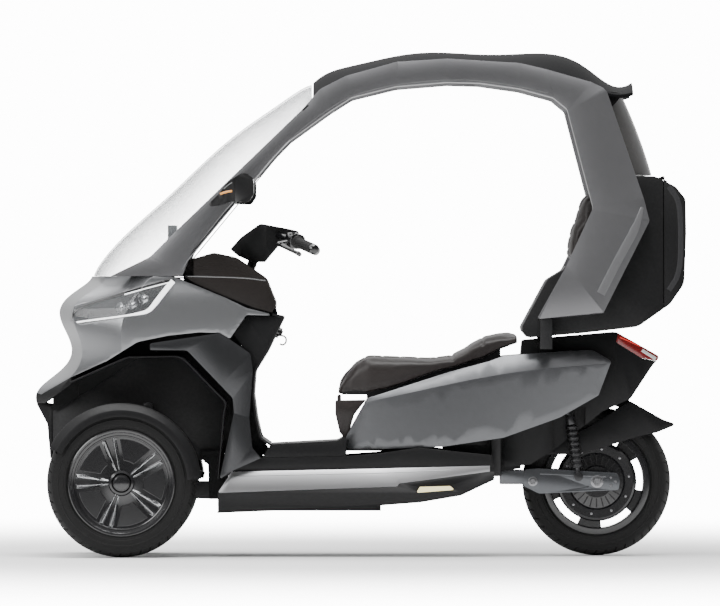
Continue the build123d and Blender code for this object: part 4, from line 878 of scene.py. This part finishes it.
for side in (-1, 1):
    x, y, z = headlight["facing"]
    facing = Vector((x, side * y, z)).normalized()
    for x, z, r in headlight["modules"]:
        profile = [(0.0001, -0.01), (r + 0.004, -0.01), (r + 0.004, 0.001), (r + 0.0015, 0.003), (r, 0.0005),
                   (r * 0.85, 0.002), (r * 0.5, 0.0052), (0.0001, 0.0062)]
        spot = sidePoint(lampTree, frontX + x, z, side, headlight["sink"])
        if spot:
            modules.append(turnedAt(profile, spot, facing, 28))
addPiece("lampModules", *joinMeshes(modules), lampChrome, "chassis", 30)

# Running light down each side of the nose: (y, z) points, and a section of (share of the width, lift)
dayLight = {
    "rows": [(0.046, 0.829), (0.052, 0.808), (0.05, 0.77), (0.044, 0.73), (0.036, 0.7)],
    "section": ((-0.5, -0.0005), (-0.35, 0.0018), (0.35, 0.0018), (0.5, -0.0005)), "width": 0.0075,
}
dayParts = []
for side in (-1, 1):
    rows = []
    for p in evenPath([(side * y, z) for y, z in dayLight["rows"]], 0.004, 2):
        row = [frontPoint(noseTree, p.x + t * dayLight["width"], p.y, lift)
               for t, lift in dayLight["section"]]
        if all(row):
            rows.append(row)
    dayParts.append(([v for row in rows for v in row], gridFaces(len(rows), len(dayLight["section"]))))
addPiece("dayLights", *joinMeshes(dayParts), lampWhite, "chassis", 50)
print("stage: lamps")

# Windscreen seal, a painted highlight along the bevel round the arch opening, and a painted highlight on the
# facet of the rear pillar
sealBlack = makeMaterial("sealBlack", (0.006, 0.006, 0.006), 0.5, 0.1, 30.0, 0.15, 1500.0, 0.5)
# Paler metal for the dash line, the mirror rim and the sill crease, and for the painted highlight along the
# roof arch's bevel
trimAndHighlight = makeMaterial("trimAndHighlight", (0.3, 0.305, 0.31), 0.3, 0.05, 10.0, 0.04, 2600.0, 0.3,
                        Metallic=0.8, Coat_Weight=0.4)
# A paler copy of the roof frames' paint: painted highlight on the rear pillar's facet
railFacetHighlight = makeMaterial("railFacetHighlight", (0.3, 0.3, 0.31), 0.36, **metalFlake, **dullCoat)
roofTrim = {
    "seal": [(-0.058, 0.934), (0.12, 1.08), (0.262, 1.215), (0.425, 1.349), (0.545, 1.44), (0.622, 1.506)],
    "bevel": [(-0.59, 0.96), (-0.55, 1.03), (-0.44, 1.162), (-0.34, 1.276), (-0.235, 1.393),
              (-0.128, 1.478), (-0.026, 1.54), (0.122, 1.576), (0.292, 1.5905), (0.398, 1.588),
              (0.533, 1.568), (0.625, 1.546)],
    "facet": [(0.94, 1.166), (0.916, 1.093), (0.865, 1.003), (0.801, 0.878)],
    "facetWidth": lambda t: 0.012 + 0.02 * min(1.0, 4 * t),
}
roofTree = faceTree("roof_frames")
bothSides("screenSeal", roofTree, axlePath(frontX, roofTrim["seal"], 0.008), 0.006, 0.0016, sealBlack,
          "chassis")
bothSides("archBevelHighlight", roofTree, evenPath(roofTrim["bevel"], 0.008), 0.0045, 0.001, trimAndHighlight, "chassis")
bothSides("pillarFacetHighlight", roofTree, evenPath(roofTrim["facet"], 0.008, 1), roofTrim["facetWidth"], 0.0012,
          railFacetHighlight, "chassis")
print("stage: seals")

# Dash pad: moulded ribs across and a bright line along its lower edge
dashTrim = {
    "line": [(0.212, 0.937), (0.3, 0.935), (0.42, 0.931), (0.492, 0.92)],
    "ribs": 4,
    # Each rib's points are the first one's, moved by this much for each rib further up
    "rib": [(0.215, 0.952), (0.3, 0.96), (0.38, 0.952), (0.455, 0.932)],
    "ribMove": [(0.0, 0.011), (0.0, 0.013), (0.0, 0.012), (-0.018, 0.013)],
}
dashTree = faceTree("dashboard")
bothSides("dashLine", dashTree, axlePath(frontX, dashTrim["line"]), 0.0042, 0.0012, trimAndHighlight, "chassis")
ribParts = []
for k in range(dashTrim["ribs"]):
    points = [(x + k * dx, z + k * dz) for (x, z), (dx, dz) in zip(dashTrim["rib"], dashTrim["ribMove"])]
    for side in (-1, 1):
        ribParts.append(sideStrip(dashTree, axlePath(frontX, points, 0.005), 0.0032, 0.0012, side))
addPiece("dashRibs", *joinMeshes(ribParts), softDash, "chassis", 50)

# Mirrors: an amber repeater and a bright rim on the outer side, and the glass facing the rider
mirrorGlass = makeMaterial("mirrorGlass", (0.55, 0.57, 0.58), 0.04, 0.03, 30.0, Metallic=1.0)
amberLens = makeMaterial("amberLens", (0.75, 0.3, 0.05), 0.18, 0.06, 40.0, Coat_Weight=1.0,
                         Emission_Strength=0.25, Emission_Color=(1.0, 0.5, 0.1, 1))
mirror = {
    "repeater": [(0.322, 1.206), (0.346, 1.215), (0.37, 1.219)],
    "rim": [(0.342, 1.226), (0.358, 1.24), (0.37, 1.247)],
    "glass": [(0.336, 1.214), (0.338, 1.248), (0.352, 1.258), (0.392, 1.258), (0.406, 1.246), (0.406, 1.206),
              (0.394, 1.196), (0.35, 1.198)],
    "glassFaces": (-0.0006, 0.0008),
}
mirrorTree = faceTree("mirrors")
bothSides("mirrorRepeater", mirrorTree, axlePath(frontX, mirror["repeater"], 0.003), 0.008, 0.0016, amberLens,
          "chassis")
bothSides("mirrorRim", mirrorTree, axlePath(frontX, mirror["rim"], 0.003), 0.003, 0.001, trimAndHighlight, "chassis")
glassParts = []
for side in (-1, 1):
    spots = []
    for lift in mirror["glassFaces"]:
        spots += [rayPoint(mirrorTree, (0.0, side * y, z), (-1, 0, 0))[0] + Vector((lift, 0, 0))
                  for y, z in mirror["glass"]]
    glassParts.append((spots, prismFaces(len(mirror["glass"]))))
addPiece("mirrorGlasses", *joinMeshes(glassParts), mirrorGlass, "chassis", 30)

# Crease line along the side sills
sillTree = faceTree("silver_sills", "dark_sills", "skirts")
sillPoints = [(-0.42, 0.27), (-0.1, 0.277), (0.06, 0.28), (0.3, 0.29)]
bothSides("sillCrease", sillTree, evenPath(sillPoints, 0.008, 1), 0.003, 0.0009, trimAndHighlight, "chassis")

# Leg shield, on the rider's side: key barrel, port cover and bag hook
knee = {
    # Knobs: y, z, radius and height
    "knobs": ((0.085, 0.752, 0.015, 0.012), (0.085, 0.752, 0.009, 0.017), (-0.085, 0.752, 0.016, 0.01),
              (0.0, 0.742, 0.011, 0.01)),
    "hookAt": (0.0, 0.742, 0.008), "hookWire": 0.0032,
    "hook": ((0, 0, 0), (0.016, 0, 0), (0.026, 0, -0.01), (0.024, 0, -0.026), (0.012, 0, -0.034),
             (0.004, 0, -0.028)),
}
legTree = faceTree("leg_shield")


def kneePoint(y, z, lift):
    return rayPoint(legTree, (0.2, y, z), (-1, 0, 0), lift)


knobs = []
for y, z, r, tall in knee["knobs"]:
    spot, normal = kneePoint(y, z, -0.001)
    profile = [(0.0001, 0.0), (r, 0.0), (r, tall - 0.002), (r - 0.002, tall), (0.0001, tall)]
    if spot:
        knobs.append(turnedAt(profile, spot, normal, 32))
addPiece("kneeKnobs", *joinMeshes(knobs), glossBlack, "chassis", 35)
hookSpot = kneePoint(*knee["hookAt"])[0]
tubeCurve("bagHook", [hookSpot + Vector(p) for p in knee["hook"]], knee["hookWire"], glossBlack, "chassis")
print("stage: trims")

# Handlebar: ribbed grips with a flange, bar ends, brake levers, switch buttons
grips = {
    "inner": (-0.209, 0.215, 1.052), "outer": (-0.154, 0.345, 1.027),
    "ribs": 26, "plain": 0.012, "spare": 0.02, "low": 0.0152, "high": 0.0172, "short": 0.006,
    "flange": [(0.012, 0.000), (0.02, 0.000), (0.0212, 0.002), (0.0212, 0.005), (0.0195, 0.007),
               (0.012, 0.009)],
    # Bar end: radius, and distance past the grip's outer end
    "barEnd": [(0.0001, -0.006), (0.016, -0.006), (0.0168, -0.003), (0.0168, 0.008), (0.0135, 0.0125),
               (0.006, 0.014), (0.0001, 0.014)],
}
gripInner = Vector(grips["inner"])
gripWay = Vector(grips["outer"]) - gripInner
gripSpan = gripWay.length
gripWay.normalize()
ribStep = (gripSpan - grips["spare"]) / grips["ribs"]
gripProfile = [(0.0001, 0.0)]
for k in range(grips["ribs"]):
    for r, share in ((grips["low"], 0.0), (grips["high"], 0.25), (grips["high"], 0.65), (grips["low"], 0.9)):
        gripProfile.append((r, grips["plain"] + ribStep * (k + share)))
gripProfile += [(0.015, gripSpan - grips["short"]), (0.0001, gripSpan - grips["short"])]
barEnd = [(r, gripSpan + past) for r, past in grips["barEnd"]]
gripParts, endParts = [], []
for side in (-1, 1):
    start = Vector((gripInner.x, side * gripInner.y, gripInner.z))
    way = Vector((gripWay.x, side * gripWay.y, gripWay.z))
    gripParts += [turnedAt(gripProfile, start, way, 36), turnedAt(grips["flange"], start, way, 36)]
    endParts.append(turnedAt(barEnd, start, way, 36))
grip = addPiece("gripSleeves", *joinMeshes(gripParts), gripRubber, "steering", 40)
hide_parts("grips")
addPiece("barEnds", *joinMeshes(endParts), glossBlack, "steering", 35)

brakeLever = {
    "line": ((-0.262, 0.196, 1.046), (-0.264, 0.215, 1.046), (-0.255, 0.26, 1.04), (-0.236, 0.305, 1.03),
             (-0.222, 0.338, 1.022)),
    # Half depth and half height at each point
    "section": ((0.009, 0.006), (0.01, 0.0055), (0.0085, 0.0045), (0.0075, 0.0042), (0.007, 0.005)),
    "sides": 8,
}
leverParts = []
for side in (-1, 1):
    verts = []
    for (x, y, z), (deep, tall) in zip(brakeLever["line"], brakeLever["section"]):
        for k in range(brakeLever["sides"]):
            a = 2 * pi * (k + 0.5) / brakeLever["sides"]
            verts.append((x + deep * cos(a), side * y, z + tall * sin(a)))
    leverParts.append((verts, tubeFaces(len(brakeLever["line"]), brakeLever["sides"])))
levers = addPiece("brakeLevers", *joinMeshes(leverParts), glossBlack, "steering", 40)
finer = levers.modifiers.new("finer", "SUBSURF")
finer.levels = 2
finer.render_levels = 2

# Switch buttons: x, y and radius
buttonSpots = ((-0.222, 0.19, 0.0055), (-0.212, 0.205, 0.0048), (-0.232, 0.205, 0.0048),
               (-0.222, 0.222, 0.0042))
switchTree = faceTree("switchgear")
buttons = []
for side in (-1, 1):
    for x, y, r in buttonSpots:
        spot = topPoint(switchTree, x, side * y, -0.001)
        profile = [(0.0001, 0.0), (r, 0.0), (r, 0.0024), (r - 0.001, 0.0034), (0.0001, 0.0038)]
        if spot:
            buttons.append(turnedAt(profile, spot, Vector((0, 0, 1)), 20))
addPiece("switchButtons", *joinMeshes(buttons), gripRubber, "steering", 35)
print("stage: handlebar")

# Tail lamp: clear lower window, inner light bar
clearLens = makeMaterial("clearLens", (0.78, 0.78, 0.76), 0.15, 0.04, 40.0, 0.2, 900.0, 0.1, Coat_Weight=1.0)
tailGlow = makeMaterial("tailGlow", (0.5, 0.02, 0.015), 0.2, 0.05, 40.0,
                        Emission_Strength=0.5, Emission_Color=(1, 0.06, 0.04, 1))
tailLamp = {
    "window": [(0.15, 0.69), (0.178, 0.672), (0.197, 0.661)],
    "bar": [(0.075, 0.733), (0.125, 0.712), (0.175, 0.688)],
}
tailTree = faceTree("tail_light")
bothSides("tailWindow", tailTree, axlePath(rearX, tailLamp["window"], 0.003, 1), 0.012, 0.0012, clearLens,
          "chassis")
bothSides("tailBar", tailTree, axlePath(rearX, tailLamp["bar"], 0.003, 1), 0.005, 0.0012, tailGlow, "chassis")
print("stage: tail lamp")

# Swingarm: axle nut on a washer, three small bolts behind it, the damper's nut in front, and a ridge
swing = {
    # Nuts and bolts: x from the rear axle, z, radius, height, and whether a washer is under it
    "bolts": ((0.0, 0.249, 0.0145, 0.012, True), (0.046, 0.262, 0.0048, 0.005, False),
              (0.046, 0.236, 0.0048, 0.005, False), (0.062, 0.249, 0.0048, 0.005, False),
              (-0.215, 0.25, 0.011, 0.009, True)),
    "ridge": [(-0.19, 0.276), (-0.06, 0.27), (0.03, 0.266)],
    # Profiles in shares of the radius and of the height
    "washer": ((1.45, 0.0), (1.45, 0.18), (1.3, 0.26), (0, 0.26)),
    "head": ((1.0, 0.0), (1.0, 0.8), (0.86, 1.0), (0.55, 1.0), (0.5, 0.7), (0, 0.7)),
}
armTree = faceTree("swingarm")


def boltAt(spot, side, radius, tall, shares, sides):
    profile = [(0.0001, 0.0)] + [(radius * wide or 0.0001, tall * high) for wide, high in shares]
    return turnedMesh(profile, spot, side, sides)


armBolts = []
for side in (-1, 1):
    for x, z, radius, tall, washer in swing["bolts"]:
        spot = sidePoint(armTree, rearX + x, z, side, -0.0005)
        if spot and washer:
            armBolts.append(boltAt(spot, side, radius, tall, swing["washer"], 28))
        if spot:
            armBolts.append(boltAt(spot, side, radius, tall, swing["head"], 6))
addPiece("swingarmBolts", *joinMeshes(armBolts), boltSteel, "chassis", 30)
bothSides("swingarmRidge", armTree, axlePath(rearX, swing["ridge"], 0.006, 1), 0.006, 0.0016, swingAluminium,
          "chassis")
print("stage: swingarm")

# Trunk door: a lock below the middle and a painted highlight down each side edge
# Paler grey laid on the door's side edges as a painted highlight
edgeHighlightGrey = makeMaterial("edgeHighlightGrey", (0.03, 0.03, 0.032), 0.4, 0.08, 10.0, 0.2, 1400.0, 0.6)
trunk = {
    "lockHeight": 0.888,
    "plate": [(0.0001, -0.001), (0.026, -0.001), (0.0275, 0.0005), (0.0275, 0.0025), (0.0255, 0.0038),
              (0.016, 0.004), (0.015, 0.0025), (0.0001, 0.0025)],
    "barrel": [(0.0001, 0.002), (0.0085, 0.002), (0.0085, 0.005), (0.007, 0.0062), (0.0001, 0.0062)],
    "edge": [(1.03, 1.236), (1.064, 1.19), (1.07, 1.1), (1.068, 0.95), (1.03, 0.89)],
}
trunkTree = faceTree("trunk_door")
spot, normal = rayPoint(trunkTree, (1.5, 0, trunk["lockHeight"]), (-1, 0, 0))
lockParts = [turnedAt(trunk["plate"], spot, normal, 48), turnedAt(trunk["barrel"], spot, normal, 32)]
addPiece("trunkLock", *joinMeshes(lockParts), boltSteel, "trunk_door", 30)
bothSides("trunkEdgeHighlight", trunkTree, evenPath(trunk["edge"], 0.008, 2), 0.02, 0.001, edgeHighlightGrey, "trunk_door")
print("stage: trunk")

# Inner panels that close the views through the body, left and right: how far from the middle, and the outline
innerSheets = {
    "archWebs": (0.07, [(-1.03, 0.485), (-1.03, 0.548), (-0.944, 0.63), (-0.834, 0.68), (-0.734, 0.744),
                         (-0.634, 0.768), (-0.464, 0.782), (-0.4, 0.77), (-0.4, 0.7), (-0.464, 0.69),
                         (-0.64, 0.69), (-0.75, 0.66), (-0.85, 0.6), (-0.96, 0.52)]),
    "dashWebs": (0.17, [(-0.59, 0.94), (-0.5, 0.925), (-0.37, 0.87), (-0.285, 0.845), (-0.275, 0.795),
                         (-0.32, 0.77), (-0.4, 0.8), (-0.52, 0.85), (-0.59, 0.89)]),
    "kneeWebs": (0.1, [(-0.385, 0.56), (-0.358, 0.56), (-0.345, 0.46), (-0.318, 0.375), (-0.3, 0.35),
                         (-0.34, 0.33), (-0.385, 0.4)]),
    "footWebs": (0.079, [(-0.535, 0.352), (-0.46, 0.352), (-0.44, 0.3), (-0.45, 0.19), (-0.505, 0.19),
                         (-0.51, 0.31), (-0.535, 0.325)]),
    "spoilerWebs": (0.196, [(0.8, 1.56), (0.88, 1.548), (0.872, 1.537), (0.843, 1.503), (0.823, 1.53)]),
    "pivotWebs": (0.104, [(0.27, 0.4), (0.47, 0.42), (0.54, 0.345), (0.538, 0.294), (0.47, 0.282),
                          (0.42, 0.305), (0.415, 0.34), (0.28, 0.342)]),
}
sheet = {"thick": 0.003, "pressedShare": 0.72, "pressedFaces": (0.001, 0.006), "edge": 0.0012}
for label, (inner, outline) in innerSheets.items():
    middleX = sum(x for x, z in outline) / len(outline)
    middleZ = sum(z for x, z in outline) / len(outline)
    share = sheet["pressedShare"]
    pressed = [(middleX + share * (x - middleX), middleZ + share * (z - middleZ)) for x, z in outline]
    sheets = [prismMesh(outline, side * inner, side * (inner + sheet["thick"])) for side in (-1, 1)]
    low, high = (inner + y for y in sheet["pressedFaces"])
    sheets += [prismMesh(pressed, side * low, side * high) for side in (-1, 1)]
    bevelPiece(addPiece(label, *joinMeshes(sheets), darkPlastic, "chassis", 30), sheet["edge"])

# Seat base: a dark pan that hangs from the seat's underside and lifts with it
seatPan = {
    "outline": [(-0.06, 0.552), (0.024, 0.556), (0.071, 0.566), (0.3, 0.641), (0.404, 0.672), (0.47, 0.706),
                (0.47, 0.662), (0.404, 0.625), (0.3, 0.585), (0.071, 0.512), (0.024, 0.508), (0.022, 0.541),
                (-0.06, 0.541)],
    "faces": (0.135, 0.141), "edge": 0.0014,
}
panSides = [prismMesh(seatPan["outline"], *(side * y for y in seatPan["faces"])) for side in (-1, 1)]
bevelPiece(addPiece("seatPan", *joinMeshes(panSides), darkPlastic, "seat", 30), seatPan["edge"])
print("stage: inner panels")

for name in nodes:
    soften(name, 0.0012)

# Floor that fades out round the object, so no edge shows against the studio's white
floorPaper = makeMaterial("floorPaper", (0.92, 0.92, 0.92), 0.9, 0.01, 2.0)
floorPatch = {"half": 6.0, "fadeFrom": 1.3, "fadeTo": 5.88}
half = floorPatch["half"]
floorCorners = [(-half, -half, 0), (half, -half, 0), (half, half, 0), (-half, half, 0)]
floorMesh = bpy.data.meshes.new("floor")
floorMesh.from_pydata(floorCorners, [], [(0, 1, 2, 3)])
floorMesh.materials.append(floorPaper)
floor = bpy.data.objects.new("floor", floorMesh)
bpy.context.scene.collection.objects.link(floor)
floorTree = floorPaper.node_tree
floorPlace = addNode(floorTree, "ShaderNodeTexCoord")
reach = addNode(floorTree, "ShaderNodeVectorMath", operation="LENGTH")
fade = addNode(floorTree, "ShaderNodeMapRange", interpolation_type="SMOOTHSTEP", To_Min=1.0, To_Max=0.0,
               From_Min=floorPatch["fadeFrom"], From_Max=floorPatch["fadeTo"])
link(floorTree, floorPlace.outputs["Object"], reach.inputs[0])
link(floorTree, reach.outputs["Value"], fade.inputs["Value"])
link(floorTree, fade.outputs[0], floorTree.nodes["Principled BSDF"].inputs["Alpha"])

# Studio surround: bright behind the object and overhead, dim on the side that its left flank mirrors. The
# camera itself sees a plain white backdrop
studio = {
    "dim": 0.12, "bright": 1.1, "depth": (-0.55, 0.75), "top": 1.4, "height": (0.25, 0.95), "backdrop": 14.0,
}
world = bpy.data.worlds.new("studio")
world.use_nodes = True
worldTree = world.node_tree
direction = addNode(worldTree, "ShaderNodeTexCoord")
axes = addNode(worldTree, "ShaderNodeSeparateXYZ")
link(worldTree, direction.outputs["Generated"], axes.inputs[0])
total = addNode(worldTree, "ShaderNodeMath", operation="ADD")
for index, (axis, span, low, high) in enumerate((("Y", studio["depth"], studio["dim"], studio["bright"]),
                                                 ("Z", studio["height"], 0.0, studio["top"]))):
    ramp = addNode(worldTree, "ShaderNodeMapRange", interpolation_type="SMOOTHSTEP", From_Min=span[0],
                   From_Max=span[1], To_Min=low, To_Max=high)
    link(worldTree, axes.outputs[axis], ramp.inputs["Value"])
    link(worldTree, ramp.outputs[0], total.inputs[index])
rays = addNode(worldTree, "ShaderNodeLightPath")
seen = addNode(worldTree, "ShaderNodeMix", data_type="FLOAT")
link(worldTree, rays.outputs["Is Camera Ray"], seen.inputs[0])
link(worldTree, total.outputs[0], seen.inputs[2])
seen.inputs[3].default_value = studio["backdrop"]
link(worldTree, seen.outputs[0], worldTree.nodes["Background"].inputs["Strength"])
worldTree.nodes["Background"].inputs["Color"].default_value = (1.0, 1.0, 1.0, 1)
bpy.context.scene.world = world

# Two soft lights: place, aim, width, height and watts
lights = {
    "topLight": ((-0.5, -0.6, 4.2), (0, 0, 0.6), 4.5, 1.8, 230),
    "sideLight": ((-3.8, -3.6, 2.6), (-0.5, 0, 0.7), 2.6, 2.0, 110),
}
for name, (place, aim, width, height, power) in lights.items():
    data = bpy.data.lights.new(name, "AREA")
    data.shape = "RECTANGLE"
    data.size = width
    data.size_y = height
    data.energy = power
    light = bpy.data.objects.new(name, data)
    light.location = place
    light.rotation_euler = (Vector(aim) - Vector(place)).to_track_quat("-Z", "Y").to_euler()
    bpy.context.scene.collection.objects.link(light)
